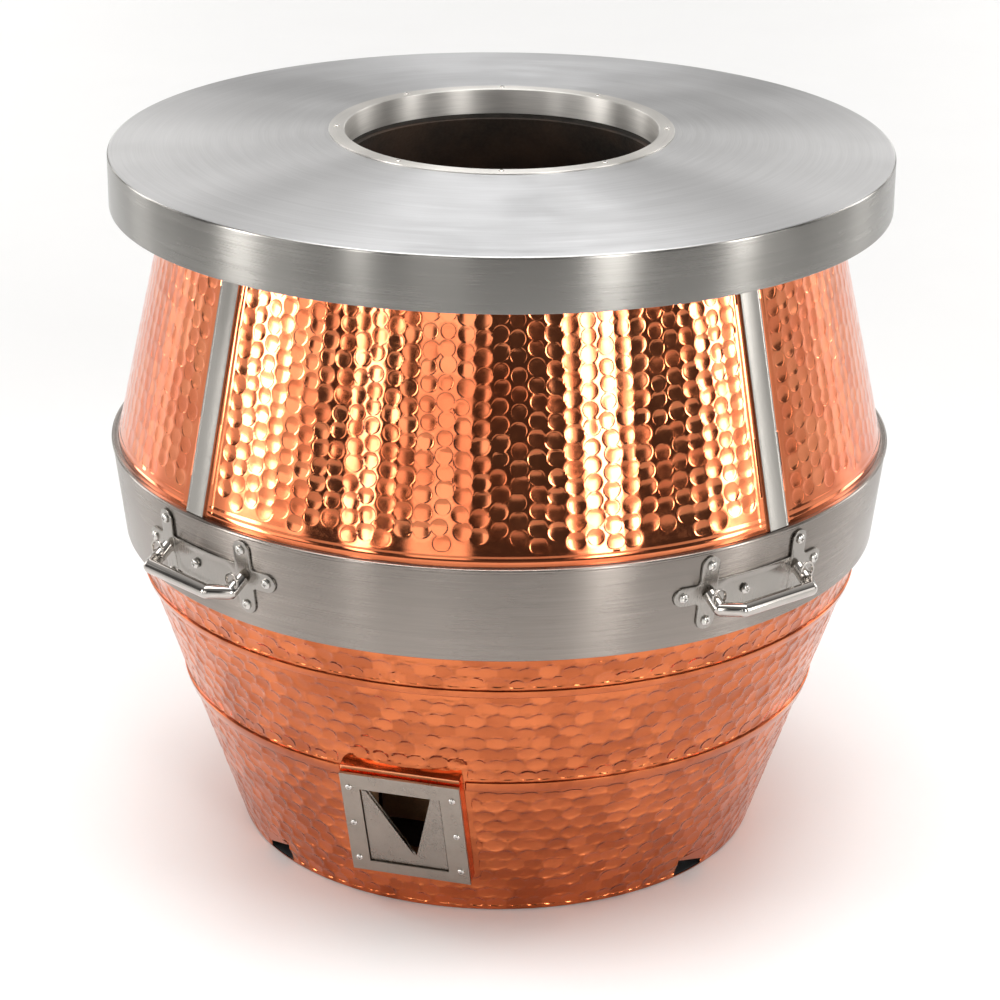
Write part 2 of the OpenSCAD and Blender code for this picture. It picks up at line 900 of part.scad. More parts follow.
// Places children on the plate's outer face at each screw, +Z outwards
module handle_screw_places()
    for (spot = handle_screw_spots) {
        face_r = band_r(handle_z + spot[1]) + seat_gap + plate_t;
        turn = asin(spot[0] / face_r);
        at_azimuth(turn)
            translate([0, -face_r, handle_z + spot[1]])
                rotate([90 + band_slope, 0, 0])
                    children();
    }
band_slope = atan((band_top_r - band_low_r) / band_h);

// Holes for the screws of all handles, and for the studs in the roots of their bars
module handle_fixing_holes()
    for (az = handle_azimuths)
        at_azimuth(az) {
            handle_screw_places()
                translate([0, 0, -2 * screw_shank])
                    cylinder(r = screw_shank_r + run_gap, h = 2 * screw_shank + over);
            for (side = [-1, 1])
                translate([side * handle_pitch / 2, -leg_face + 2 * stud_reach, handle_z])
                    outward(bar_stud_r + run_gap, 3 * stud_reach);
        }

module handle_screws()
    color("#d2d0cd")
        for (az = handle_azimuths)
            at_azimuth(az)
                handle_screw_places()
                    screw(screw_head_r, screw_head_h, screw_shank_r, screw_shank);

// Distance from the axis to the plate's face at the legs, and to the legs' roots
leg_face = sqrt(pow(band_r(handle_z) + seat_gap + plate_t, 2) - pow(handle_pitch / 2, 2));

module handle_ferrules()
    color("#c6c3be")
        for (az = handle_azimuths)
            at_azimuth(az)
                for (side = [-1, 1])
                    translate([side * handle_pitch / 2, -leg_face - ferrule_out, handle_z])
                        rotate([90, 0, 0])
                            difference() {
                                cylinder(r = ferrule_r, h = ferrule_w);
                                translate([0, 0, -over])
                                    cylinder(r = bar_r + run_gap, h = ferrule_w + 2 * over);
                            }

// One handle bar: two legs that lean down to a grip across them
module handle_bar(az) {
    root = leg_face + seat_gap + leg_root_lift;
    out = leg_face + leg_straight;
    fall = atan2(grip_drop, grip_reach - leg_straight);
    run = norm([grip_drop, grip_reach - leg_straight]);
    half = handle_pitch / 2;
    color("#d5d3d0")
        at_azimuth(az) {
            for (side = [-1, 1]) {
                translate([side * half, -root, handle_z]) outward(bar_r, out - root);
                translate([side * half, -leg_face + stud_reach, handle_z])
                    outward(bar_stud_r, stud_reach + leg_straight / 2);
            }
            translate([0, -out, handle_z])
                rotate([fall, 0, 0]) {
                    for (side = [-1, 1])
                        translate([side * half, 0, 0]) {
                            sphere(r = bar_r + elbow_swell);
                            outward(bar_r, run - bend_r);
                            translate([-side * bend_r, -run + bend_r, 0])
                                rotate([0, 0, side > 0 ? -90 : 180])
                                    rotate_extrude(angle = 90)
                                        translate([bend_r, 0]) circle(r = bar_r);
                        }
                    translate([0, -run, 0])
                        rotate([0, 90, 0])
                            cylinder(r = bar_r, h = handle_pitch - 2 * bend_r, center = true);
                }
        }
}
leg_root_lift = 1.2;
elbow_swell = 0.05;
bar_stud_r = 4;
stud_reach = 12;

module handle_front_left() handle_bar(handle_azimuths[0]);
module handle_front_right() handle_bar(handle_azimuths[1]);
module handle_rear_right() handle_bar(handle_azimuths[2]);
module handle_rear_left() handle_bar(handle_azimuths[3]);

// Draught door

// A copper box with a front sheet under the frame and a lip above it
module door_box()
    color("#b5623c")
        difference() {
            at_door() {
                difference() {
                    translate([-door_w / 2 + box_inset, -door_h / 2 + box_inset, -door_depth])
                        cube([door_w - 2 * box_inset, door_h - 2 * box_inset, door_depth - frame_t]);
                    translate([-door_w / 2 + box_inset + copper_t, -door_h / 2 + box_inset + copper_t,
                               -door_depth - over])
                        cube([door_w - 2 * box_inset - 2 * copper_t, door_h - 2 * box_inset - 2 * copper_t,
                              door_depth - frame_t - copper_t + over]);
                    translate([0, 0, -frame_t]) frame_screw_holes(frame_shank_r + pass_gap / 2);
                }
                translate([-door_w / 2 + box_inset, door_h / 2 - box_inset, -door_depth])
                    cube([door_w - 2 * box_inset, lip_gap + box_inset, door_depth - lip_root]);
                translate([-door_w / 2 + box_inset, door_h / 2 + lip_gap - over / 2, -door_depth])
                    cube([door_w - 2 * box_inset, lip_h + over / 2, door_depth - lip_drop]);
            }
            lower_solid(seat_gap);
            duct_block(seat_gap);
        }
lip_root = 10;

module frame_screw_places()
    for (x = [-frame_screw_x, frame_screw_x])
        for (y = [-frame_screw_rise, 0, frame_screw_rise])
            translate([x, y, 0])
                children();

module frame_screw_holes(r)
    frame_screw_places()
        cylinder(r = r, h = 2 * door_proud, center = true);

module door_frame()
    color("#a89c90")
        at_door() {
            difference() {
                translate([-door_w / 2, -door_h / 2, -frame_t])
                    cube([door_w, door_h, frame_t]);
                translate([-open_left, -open_low, -frame_t - over])
                    cube([open_left + open_right, open_low + open_top, frame_t + 2 * over]);
                frame_screw_holes(frame_shank_r + run_gap);
            }
            for (y = [open_top + lug_gap, -open_low - lug_gap - lug_h])
                difference() {
                    translate([hinge_x - lug_w / 2, y, hinge_n - knuckle_r])
                        cube([lug_w, lug_h, -frame_t - hinge_n + knuckle_r]);
                    translate([hinge_x, y - over, hinge_n])
                        rotate([-90, 0, 0])
                            cylinder(r = pin_r + run_gap, h = lug_h + 2 * over);
                }
        }
hinge_x = -open_left + hinge_inset;
hinge_n = -leaf_recess - knuckle_r;

module door_frame_screws()
    color("#d2d0cd")
        at_door()
            frame_screw_places()
                screw(frame_screw_r, frame_screw_h, frame_shank_r, frame_shank);

module door_duct()
    color("#5c5148")
        difference() {
            intersection() {
                duct_block(0);
                at_door()
                    translate([-top_r, -top_r, -2 * top_r])
                        cube([2 * top_r, 2 * top_r, 2 * top_r - frame_t]);
            }
            duct_hollow();
        }

module duct_hollow() {
    left = open_left + duct_margin;
    right = open_right + duct_margin;
    z_low = door_z - (open_low + duct_margin) * cos(slope_lower);
    z_high = door_z + (open_top + duct_margin) * cos(slope_lower);
    at_azimuth(door_az)
        translate([-left, -belly_r - over, z_low])
            cube([left + right, belly_r + over - duct_in_y + over, z_high - z_low]);
}

module duct_baffle()
    color("#6e4f38")
        at_azimuth(door_az)
            translate([-baffle_w / 2, -duct_in_y + baffle_back, baffle_low_z])
                cube([baffle_w, baffle_t, deck_z - baffle_low_z]);

module door_hinge_pin()
    color("#8f8b86")
        at_door()
            translate([hinge_x, -open_low - lug_gap - lug_h, hinge_n])
                rotate([-90, 0, 0])
                    cylinder(r = pin_r, h = open_low + open_top + 2 * lug_gap + 2 * lug_h);

leaf_left = -open_left + leaf_gap_left;
leaf_right = open_right - leaf_gap_right;
leaf_top = open_top - leaf_gap_top;
leaf_low = -open_low + leaf_gap_low;

// Left edge of the V at a height on the door
function v_edge(y) = v_tip_x - (v_tip_x + v_left) * (y - v_tip_y) / (leaf_top - v_tip_y);

module draught_door()
    color("#a3968a")
        at_door()
            difference() {
                union() {
                    translate([0, 0, -leaf_recess - leaf_t])
                        linear_extrude(leaf_t)
                            difference() {
                                translate([leaf_left, leaf_low])
                                    square([leaf_right - leaf_left, leaf_top - leaf_low]);
                                polygon([
                                    [v_tip_x, v_tip_y],
                                    [v_right, leaf_top],
                                    [v_right, leaf_top + over],
                                    [-v_left, leaf_top + over],
                                    [-v_left, leaf_top]]);
                                for (y = [guide_low_y, guide_high_y]) guide_slot(y);
                            }
                    translate([hinge_x, leaf_low, hinge_n])
                        rotate([-90, 0, 0])
                            cylinder(r = knuckle_r, h = leaf_top - leaf_low);
                }
                translate([hinge_x, leaf_low - over, hinge_n])
                    rotate([-90, 0, 0])
                        cylinder(r = pin_r + run_gap, h = leaf_top - leaf_low + 2 * over);
            }

module guide_slot(y) {
    r = guide_r + slot_gap;
    translate([guide_x, y - r]) square([shutter_travel, 2 * r]);
    for (x = [guide_x, guide_x + shutter_travel]) translate([x, y]) circle(r = r);
}
slot_gap = 0.2;

// Triangular plate in front of the leaf, with two guide studs welded to its back
module draught_shutter() {
    tip = v_edge(-shutter_low + leaf_t / 2);
    color("#ab9f92")
        at_door() {
            translate([-shutter_edge, 0, -leaf_recess + shutter_float])
                rotate([0, -shutter_lift, 0])
                    linear_extrude(shutter_t)
                        polygon([
                            [0, -shutter_low],
                            [shutter_edge + tip, -shutter_low + leaf_t / 2],
                            [shutter_edge - v_left - leaf_gap_low, shutter_top - leaf_recess],
                            [shutter_notch - leaf_t, shutter_top],
                            [0, shutter_top]]);
            for (y = [guide_low_y, guide_high_y])
                translate([guide_x, y, guide_root])
                    cylinder(r = guide_r, h = shutter_back - guide_root + shutter_t / 2);
        }
}
shutter_back = -leaf_recess + shutter_float + (shutter_edge + guide_x) * tan(shutter_lift);
guide_root = -leaf_recess - leaf_t - seat_gap - nut_t;

module shutter_nuts()
    color("#8f8b86")
        at_door()
            for (y = [guide_low_y, guide_high_y])
                translate([guide_x, y, guide_root])
                    difference() {
                        cylinder(r = nut_r, h = nut_t);
                        translate([0, 0, -over]) cylinder(r = guide_r + run_gap, h = nut_t + 2 * over);
                    }

// Burner

module burner_head()
    color("#3d3d3f")
        difference() {
            translate([0, 0, feed_z - burner_h / 2])
                difference() {
                    rotate_extrude()
                        polygon([
                            [0, 0], [burner_r - burner_wall, 0], [burner_r, burner_wall],
                            [burner_r, burner_h + venturi_r - 2 * burner_wall],
                            [burner_r - 2 * burner_wall, burner_h + venturi_r],
                            [0, burner_h + venturi_r]]);
                    translate([0, 0, burner_wall])
                        cylinder(r = burner_r - 2 * burner_wall, h = burner_h + venturi_r - 2 * burner_wall);
                }
            for (i = [0:port_count - 1])
                rotate([0, 0, 360 * (i + 0.5) / port_count])
                    translate([0, -burner_r / 2, feed_z + burner_h / 2 + venturi_r - 2 * burner_wall])
                        rotate([60, 0, 0])
                            cylinder(r = port_r, h = burner_r);
            translate([0, burner_r / 2, feed_z])
                rotate([-90, 0, 0])
                    cylinder(r = venturi_r + run_gap, h = burner_r);
        }

module burner_stand() {
    stand_top = feed_z - burner_h / 2;
    ring_r = burner_r - 2 * burner_wall;
    color("#38393b") {
        difference() {
            translate([0, 0, stand_top - stand_ring_h]) cylinder(r = ring_r, h = stand_ring_h);
            translate([0, 0, stand_top - stand_ring_h - over])
                cylinder(r = ring_r - stand_ring_w, h = stand_ring_h + 2 * over);
        }
        for (az = [0:120:240])
            at_azimuth(az)
                translate([-stand_leg_w / 2, -ring_r + burner_wall / 2, lower_upright_z])
                    cube([stand_leg_w, stand_leg_w - burner_wall / 2,
                          stand_top - stand_ring_h - lower_upright_z + over]);
    }
}

// Places children on the feed line: +Z of the child points to the rear
module on_feed(y) translate([0, y, feed_z]) rotate([-90, 0, 0]) children();

// Windows for primary air, cut through both the tube and the sleeve on it
module air_windows()
    on_feed(venturi_end - window_from_end)
        for (turn = [0, 180])
            rotate([0, 0, turn - window_angle / 2])
                rotate_extrude(angle = window_angle)
                    translate([venturi_r - venturi_wall - over, 0])
                        square([venturi_wall + sleeve_t + run_gap + 2 * over, window_len]);

module venturi_tube()
    color("#77736d")
        difference() {
            union() {
                on_feed(venturi_start) cylinder(r = venturi_r, h = venturi_end - venturi_start);
                on_feed(venturi_start + burner_wall + over)
                    cylinder(r = venturi_r + bell_flare, h = burner_wall);
            }
            on_feed(venturi_start - over)
                cylinder(r = venturi_r - venturi_wall, h = venturi_end - venturi_start - venturi_cap + over);
            on_feed(venturi_end - venturi_cap - over)
                cylinder(r = injector_r + run_gap, h = venturi_cap + 2 * over);
            air_windows();
        }

module air_shutter()
    color("#8d8983")
        difference() {
            on_feed(venturi_end - window_from_end - sleeve_extra)
                cylinder(r = venturi_r + run_gap + sleeve_t, h = window_len + 2 * sleeve_extra);
            on_feed(venturi_end - window_from_end - sleeve_extra - over)
                cylinder(r = venturi_r + run_gap, h = window_len + 2 * sleeve_extra + 2 * over);
            air_windows();
        }

module injector()
    color("#c2a14d")
        difference() {
            union() {
                on_feed(venturi_end - venturi_cap - injector_tip)
                    cylinder(r1 = injector_tip_r, r2 = injector_r, h = injector_tip);
                on_feed(venturi_end - venturi_cap) cylinder(r = injector_r, h = injector_len);
                on_feed(venturi_end + seat_gap)
                    cylinder(r = injector_r + injector_tip_r, h = venturi_cap, $fn = 6);
            }
            on_feed(venturi_end - venturi_cap - injector_tip - over)
                cylinder(r = jet_r, h = injector_tip + injector_len / 2);
            on_feed(venturi_end - venturi_cap + injector_len / 2)
                cylinder(r = pipe_r + run_gap, h = injector_len);
        }
injector_tip = 8;
jet_r = 0.9;

// Gas pipe from the tap to the injector
pipe_start_y = plate_y - tap_front - tap_depth;
pipe_corner_y = pipe_start_y - pipe_run;
venturi_end = pipe_corner_y - injector_room;
injector_seat_y = venturi_end - venturi_cap + injector_len / 2 + seat_gap;

module gas_pipe()
    color("#b98a55") {
        rod([knob_x, pipe_start_y, feed_z], [knob_x, pipe_corner_y, feed_z], pipe_r);
        translate([knob_x, pipe_corner_y, feed_z]) sphere(r = pipe_r);
        rod([knob_x, pipe_corner_y, feed_z], [0, pipe_corner_y, feed_z], pipe_r);
        translate([0, pipe_corner_y, feed_z]) sphere(r = pipe_r);
        rod([0, pipe_corner_y, feed_z], [0, injector_seat_y, feed_z], pipe_r);
    }

// Pilot jet beside the burner, with a bracket that reaches to the burner head
module pilot_burner()
    color("#b08d4a")
        at_azimuth(pilot_az) {
            translate([0, -pilot_ring_r, pilot_z - pilot_h / 2])
                difference() {
                    cylinder(r = pilot_r, h = pilot_h);
                    translate([0, 0, pilot_h / 2]) cylinder(r = pilot_r - pan_t, h = pilot_h);
                }
            translate([-pilot_r / 2, -pilot_ring_r, pilot_z - pilot_h / 2])
                cube([pilot_r, pilot_ring_r - burner_r - seat_gap, pan_t]);
        }

module pilot_pipe()
    color("#b98a55")
        rod([pilot_x, pilot_y + pilot_r + seat_gap, pilot_z - pilot_r],
            [pilot_x, pipe_start_y - seat_gap, pilot_z - pilot_r], pilot_pipe_r);

// Gas controls

box_low = box_z - box_h / 2;

// Opening in the copper behind the control box
module service_cut()
    translate([-service_w / 2, belly_r / 2, box_low + 2 * box_t])
        cube([service_w, belly_r / 2, box_h - 4 * box_t]);

module control_box()
    color("#9d9a95")
        difference() {
            translate([-box_w / 2, belly_r / 2, box_low])
                cube([box_w, plate_y - box_t - belly_r / 2, box_h]);
            translate([-box_w / 2 + box_t, belly_r / 2 - over, box_low + box_t])
                cube([box_w - 2 * box_t, plate_y - 2 * box_t - belly_r / 2 + over,
                      box_h - 2 * box_t]);
            translate([-box_w / 2 + tab_w, belly_r / 2 - over, box_low + tab_w])
                cube([box_w - 2 * tab_w, plate_y, box_h - 2 * tab_w]);
            lower_solid(seat_gap);
            control_screw_places() outward_hole(frame_shank_r + run_gap);
        }
tab_w = 10;

// A hole along the rear plate's normal
module outward_hole(r) rotate([90, 0, 0]) cylinder(r = r, h = 4 * tab_w, center = true);

module control_screw_places()
    for (x = [-1, 1])
        for (z = [-1, 1])
            translate([x * (box_w / 2 - tab_w / 2), plate_y, box_z + z * (box_h / 2 - tab_w / 2)])
                children();

module control_plate()
    color("#a9a49c")
        difference() {
            translate([-box_w / 2, plate_y - box_t, box_low])
                cube([box_w, box_t, box_h]);
            control_screw_places() outward_hole(frame_shank_r + run_gap);
            translate([knob_x, plate_y, control_row_z]) outward_hole(plug_r + pass_gap);
            translate([button_x, plate_y, control_row_z]) outward_hole(igniter_r + seat_gap);
            translate([inlet_x, plate_y, inlet_z]) outward_hole(inlet_r + pass_gap);
        }

module control_screws()
    color("#d2d0cd")
        control_screw_places()
            rotate([-90, 0, 0])
                screw(frame_screw_r, frame_screw_h, frame_shank_r, frame_shank);

// Places children on the control plate: +Z points to the rear
module on_plate(x, z) translate([x, plate_y, z]) rotate([-90, 0, 0]) children();

tap_back = -tap_front - tap_depth;

module gas_tap_body()
    color("#b99b52")
        difference() {
            union() {
                translate([knob_x - tap_w / 2, plate_y + tap_back, inlet_z - manifold_r - leg_wall])
                    cube([tap_w, tap_depth,
                          control_row_z - inlet_z + plug_r + manifold_r + 2 * leg_wall]);
                on_plate(knob_x, control_row_z)
                    translate([0, 0, -tap_front])
                        cylinder(r = plug_r + leg_wall, h = tap_front - box_t - seat_gap);
            }
            on_plate(knob_x, control_row_z)
                translate([0, 0, tap_back + leg_wall])
                    cylinder(r = plug_r + run_gap, h = tap_depth + tap_front);
        }

// The turning core of the tap, with a flatted socket for the knob's stem
module tap_plug()
    color("#c9b06a")
        on_plate(knob_x, control_row_z)
            difference() {
                translate([0, 0, tap_back + leg_wall + seat_gap])
                    cylinder(r = plug_r, h = tap_depth + tap_front - leg_wall - seat_gap - box_t);
                translate([0, 0, -stem_depth - knob_push])
                    stem_shape(run_gap, stem_depth + 2 * knob_push + over);
            }

// A round stem with one flat
module stem_shape(grow, h)
    difference() {
        cylinder(r = stem_r + grow, h = h);
        translate([-stem_r * 2, stem_r / 2 + grow, -over]) cube([4 * stem_r, stem_r * 2, h + 2 * over]);
    }

knob_base = knob_gap + knob_push;
skirt_share = 0.6;

module gas_knob()
    color("#2a2a2c")
        on_plate(knob_x, control_row_z) {
            translate([0, 0, -stem_depth + seat_gap])
                stem_shape(0, stem_depth + knob_base + box_t);
            difference() {
                union() {
                    translate([0, 0, knob_base])
                        rotate_extrude()
                            polygon([[0, 0], [knob_r, 0], [knob_r, knob_h / 4],
                                     [knob_r - box_t, knob_h / 3], [knob_r - box_t, knob_h / 2],
                                     [knob_r - 2 * box_t, knob_h * skirt_share],
                                     [0, knob_h * skirt_share]]);
                    translate([-grip_w / 2, -knob_r + 2 * box_t, knob_base])
                        cube([grip_w, 2 * knob_r - 4 * box_t, knob_h]);
                }
                translate([-pointer_w / 2, -knob_r, knob_base + knob_h - box_t])
                    cube([pointer_w, knob_r, 2 * box_t]);
            }
        }

module igniter_body()
    color("#2f3032")
        difference() {
            on_plate(button_x, control_row_z) {
                translate([0, 0, -igniter_len]) cylinder(r = igniter_r, h = igniter_len);
                cylinder(r = igniter_collar_r, h = igniter_collar_h);
            }
            on_plate(button_x, control_row_z) {
                translate([0, 0, -button_push - button_head - seat_gap])
                    cylinder(r = button_r + run_gap, h = igniter_len);
                translate([0, 0, -igniter_len + button_head])
                    cylinder(r = button_stem_r + run_gap, h = igniter_len);
            }
        }

module igniter_button()
    color("#a32b22")
        on_plate(button_x, control_row_z) {
            translate([0, 0, -button_head])
                cylinder(r = button_r, h = button_head + igniter_collar_h + button_push + box_t);
            translate([0, 0, -igniter_len / 2 - button_head])
                cylinder(r = button_stem_r, h = igniter_len / 2 + button_head);
        }

module gas_inlet()
    color("#c2a14d")
        difference() {
            union() {
                on_plate(inlet_x, inlet_z) {
                    translate([0, 0, -elbow_in]) cylinder(r = inlet_r, h = elbow_in + inlet_len);
                    cylinder(r = inlet_nut_r, h = inlet_nut_h, $fn = 6);
                    translate([0, 0, -elbow_in]) sphere(r = inlet_r);
                }
                rod([inlet_x, plate_y - elbow_in, inlet_z],
                    [knob_x - tap_w / 2 - seat_gap, plate_y - elbow_in, inlet_z], manifold_r);
            }
            on_plate(inlet_x, inlet_z)
                translate([0, 0, -elbow_in])
                    cylinder(r = inlet_r - leg_wall, h = elbow_in + inlet_len + over);
        }

base_ring();
floor_pan();
lower_uprights();
upper_uprights();
belly_ring();
neck_ring();
course_bottom();
course_middle();
course_top();
belly_band();
panel_front();
panel_right();
panel_rear();
panel_left();
cover_strips();
top_plate();
top_hoop();
top_soffit();
mouth_collar();
collar_screws();
mouth_seal();
clay_pot();
pot_deck();
pot_legs();
insulation_fill();
flame_deflector();
deflector_studs();
handle_plates();
handle_screws();
handle_ferrules();
handle_front_left();
handle_front_right();
handle_rear_right();
handle_rear_left();
door_box();
door_frame();
door_frame_screws();
door_duct();
duct_baffle();
door_hinge_pin();
draught_door();
draught_shutter();
shutter_nuts();
control_box();
control_plate();
control_screws();
gas_tap_body();
tap_plug();
gas_knob();
igniter_body();
igniter_button();
gas_inlet();
gas_pipe();
injector();
venturi_tube();
air_shutter();
burner_head();
burner_stand();
pilot_burner();
pilot_pipe();
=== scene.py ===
import json
import math

import bmesh
import bpy
import numpy as np
from mathutils import Matrix, Vector


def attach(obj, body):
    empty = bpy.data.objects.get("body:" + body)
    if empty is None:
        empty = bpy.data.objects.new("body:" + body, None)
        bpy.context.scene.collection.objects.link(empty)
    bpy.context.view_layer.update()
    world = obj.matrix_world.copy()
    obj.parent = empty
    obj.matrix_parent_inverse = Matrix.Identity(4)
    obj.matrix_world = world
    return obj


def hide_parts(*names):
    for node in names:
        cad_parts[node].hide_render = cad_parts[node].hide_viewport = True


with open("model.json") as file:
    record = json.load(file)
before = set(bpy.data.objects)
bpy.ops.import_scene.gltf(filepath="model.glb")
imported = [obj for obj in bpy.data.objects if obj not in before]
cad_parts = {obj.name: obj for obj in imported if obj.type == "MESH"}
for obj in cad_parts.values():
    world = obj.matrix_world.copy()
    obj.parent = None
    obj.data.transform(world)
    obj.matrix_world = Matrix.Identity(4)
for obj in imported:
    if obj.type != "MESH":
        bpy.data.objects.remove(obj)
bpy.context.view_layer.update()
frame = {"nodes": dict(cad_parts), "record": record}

# Sizes are in millimetres and angles in degrees, as in the part's source. MM turns them into metres.
# Azimuth 0 is the front and positive azimuths go towards +X.
MM = 0.001
BODY_OF = {node: body for body, nodes in frame["record"]["behaviour"]["bodies"].items() for node in nodes}

# Drum
BASE_R = 313.0
BELLY_R = 438.0
BAND_Z = 374.0
BAND_H = 111.0
BAND_LOW_R = 444.2
SHOULDER_R = 449.5
BAND_TOP_R = 457.7
SHOULDER_Z = 485.0
NECK_R = 386.0
NECK_Z = 764.0
RIM_Z = 825.0
TOP_R = 450.0
COLLAR_R = 198.0
MOUTH_R = 180.0
MOUTH_Z = 843.0
THROAT_Z = 813.0
PLATE_Z = 841.0
PLATE_HOLE_R = 182.8
COLLAR_BORE_R = 182.5
COLLAR_FOOT_R = 205.0
COLLAR_FOOT_Z = 815.0
SHEET_T = 1.6
STEEL_T = 2.5
SEAT_GAP = 0.3
LEDGE_T = 3.0
STRIP_HALF = 14.5

# Azimuths of what repeats round the drum
STRIPS = (-47.5, 42.5, 132.5, 222.5)
VENTS = ((-54.0, 1), (46.0, -1), (126.0, 1), (226.0, -1))
HANDLES = {"handle_front_left": -45.5, "handle_front_right": 38.0,
           "handle_rear_right": 134.5, "handle_rear_left": 218.0}
DOOR_AZ = -16.2

# Openings of the lower courses: half widths, the heights where those are taken, sills and tops
VENT_HALF = 24.0
VENT_Z = 15.0
VENT_SILL_Z = 3.0
VENT_TOP_Z = 28.0
DOOR_Z = 127.0
DOOR_LEFT = 58.8
DOOR_RIGHT = 56.2
DOOR_LOW_Z = 59.5
DOOR_TOP_Z = 188.3
DUCT_HALF = 70.6
SERVICE_HALF = 62.0
SERVICE_Z = 124.0
SERVICE_LOW_Z = 81.0
SERVICE_TOP_Z = 167.0
# The door box's own field on the copper, which holds no hammer marks
BOX_HALF = 75.0
BOX_Z = 132.0
BOX_RISE = 79.0


def lower_r(z):
    return BASE_R + (BELLY_R - BASE_R) * z / BAND_Z


def band_r(z):
    return BAND_LOW_R + (BAND_TOP_R - BAND_LOW_R) * (z - BAND_Z) / BAND_H


def upper_r(z):
    return SHOULDER_R + (NECK_R - SHOULDER_R) * (z - SHOULDER_Z) / (NECK_Z - SHOULDER_Z)


# Meshes

def place(name, mesh, materials, body, nodes, angle):
    """Links a mesh as a piece of the object, smooth up to an angle, in place of CAD nodes."""
    piece = bpy.data.objects.new(name, mesh)
    bpy.context.scene.collection.objects.link(piece)
    for material in materials:
        mesh.materials.append(material)
    mesh.shade_smooth()
    mesh.set_sharp_from_angle(angle=math.radians(angle))
    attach(piece, body)
    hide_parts(*nodes)
    return piece


def mesh_of(name, points, faces):
    mesh = bpy.data.meshes.new(name)
    mesh.from_pydata((np.asarray(points, float) * MM).tolist(), [], faces)
    mesh.update()
    return mesh


def turned_out(mesh):
    """Makes all faces of closed forms point outwards."""
    bm = bmesh.new()
    bm.from_mesh(mesh)
    bmesh.ops.recalc_face_normals(bm, faces=bm.faces)
    bm.to_mesh(mesh)
    bm.free()
    return mesh


def rounded(points, radius, steps):
    """A closed outline, its corners rounded as far as its sides allow; a point may name its radius."""
    out = []
    count = len(points)
    for i, point in enumerate(points):
        here = Vector(point[:2])
        r = point[2] if len(point) > 2 else radius
        before = Vector(points[i - 1][:2]) - here
        after = Vector(points[(i + 1) % count][:2]) - here
        turn = before.angle(after)
        reach = min(r / math.tan(turn / 2), before.length * 0.45, after.length * 0.45)
        if r <= 0 or math.pi - turn < 0.02:
            out.append(tuple(here))
            continue
        start = here + before.normalized() * reach
        end = here + after.normalized() * reach
        for step in range(steps + 1):
            t = step / steps
            out.append(tuple((1 - t) ** 2 * start + 2 * t * (1 - t) * here + t * t * end))
    return out


def on_drum(radii, turns, heights):
    """A grid of points at radii and heights round the drum's axis."""
    return np.stack([radii * np.sin(turns)[:, None], -radii * np.cos(turns)[:, None], heights], axis=2)


def lathe(outline, steps, wobble=None):
    """Points and faces of a closed outline of (radius, height) turned round the drum's axis."""
    outline = np.array(outline)
    turns = np.linspace(0, 2 * math.pi, steps, endpoint=False)
    count = len(outline)
    radii = np.repeat(outline[None, :, 0], steps, axis=0)
    heights = np.repeat(outline[None, :, 1], steps, axis=0)
    if wobble is not None:
        radii = radii + wobble(turns[:, None], heights)
    points = on_drum(radii, turns, heights)
    faces = []
    for j in range(steps):
        near, far = j * count, (j + 1) % steps * count
        for k in range(count):
            up = (k + 1) % count
            faces.append((near + k, far + k, far + up, near + up))
    return points.reshape(-1, 3), faces


# In a copied CAD node points this close are one, edges this flat go and sharper ones get soft
WELD_GAP = 0.004
FLAT_EDGE = 0.8
SHARP_EDGE = 28.0


def softened(node, width, kind, segments=2):
    """A copy of a CAD node with rounded edges, which stands for it."""
    mesh = frame["nodes"][node].data.copy()
    mesh.materials.clear()
    bm = bmesh.new()
    bm.from_mesh(mesh)
    bmesh.ops.remove_doubles(bm, verts=bm.verts, dist=WELD_GAP * MM)
    bmesh.ops.dissolve_limit(bm, angle_limit=math.radians(FLAT_EDGE), verts=bm.verts, edges=bm.edges)
    bm.to_mesh(mesh)
    bm.free()
    piece = place(node + "_finished", mesh, [MATERIALS[kind]], BODY_OF[node], (node,), 40.0)
    bevel = piece.modifiers.new("soft_edges", "BEVEL")
    bevel.width = width * MM
    bevel.segments = segments
    bevel.limit_method = "ANGLE"
    bevel.angle_limit = math.radians(SHARP_EDGE)
    bevel.harden_normals = True


def walls(rings, size):
    """Faces between rings of points of one size, each ring after the one before it."""
    faces = []
    for ring in range(rings - 1):
        for k in range(size):
            up = (k + 1) % size
            faces.append((ring * size + k, ring * size + up, (ring + 1) * size + up, (ring + 1) * size + k))
    return faces


def tube(path, radius, sides):
    """Points and faces of a closed round bar along a path."""
    last = len(path) - 1
    ahead = [(path[min(i + 1, last)] - path[max(i - 1, 0)]).normalized() for i in range(last + 1)]
    side = ahead[0].orthogonal().normalized()
    points = []
    for i, centre in enumerate(path):
        side = (side - side.dot(ahead[i]) * ahead[i]).normalized()
        other = ahead[i].cross(side)
        for k in range(sides):
            a = 2 * math.pi * k / sides
            points.append(centre + radius * (math.cos(a) * side + math.sin(a) * other))
    faces = walls(len(path), sides)
    faces.append(tuple(range(sides - 1, -1, -1)))
    faces.append(tuple(range(len(points) - sides, len(points))))
    return [tuple(p) for p in points], faces


def joined(parts):
    """One set of points and faces from several."""
    points, faces = [], []
    for some_points, some_faces in parts:
        base = len(points)
        points += [tuple(p) for p in some_points]
        faces += [tuple(base + i for i in face) for face in some_faces]
    return points, faces


def at_azimuth(points, azimuth):
    """Turns points drawn at the front to an azimuth."""
    turn = Matrix.Rotation(math.radians(azimuth), 3, "Z")
    return [tuple(turn @ Vector(p)) for p in points]


def drum_piece(node, ending, parts, kinds, angle):
    """One piece of the drum from closed forms, which stands for a CAD node."""
    name = node + ending
    mesh = turned_out(mesh_of(name, *joined(parts)))
    return place(name, mesh, [MATERIALS[kind] for kind in kinds], "drum", (node,), angle)


# Shader nodes

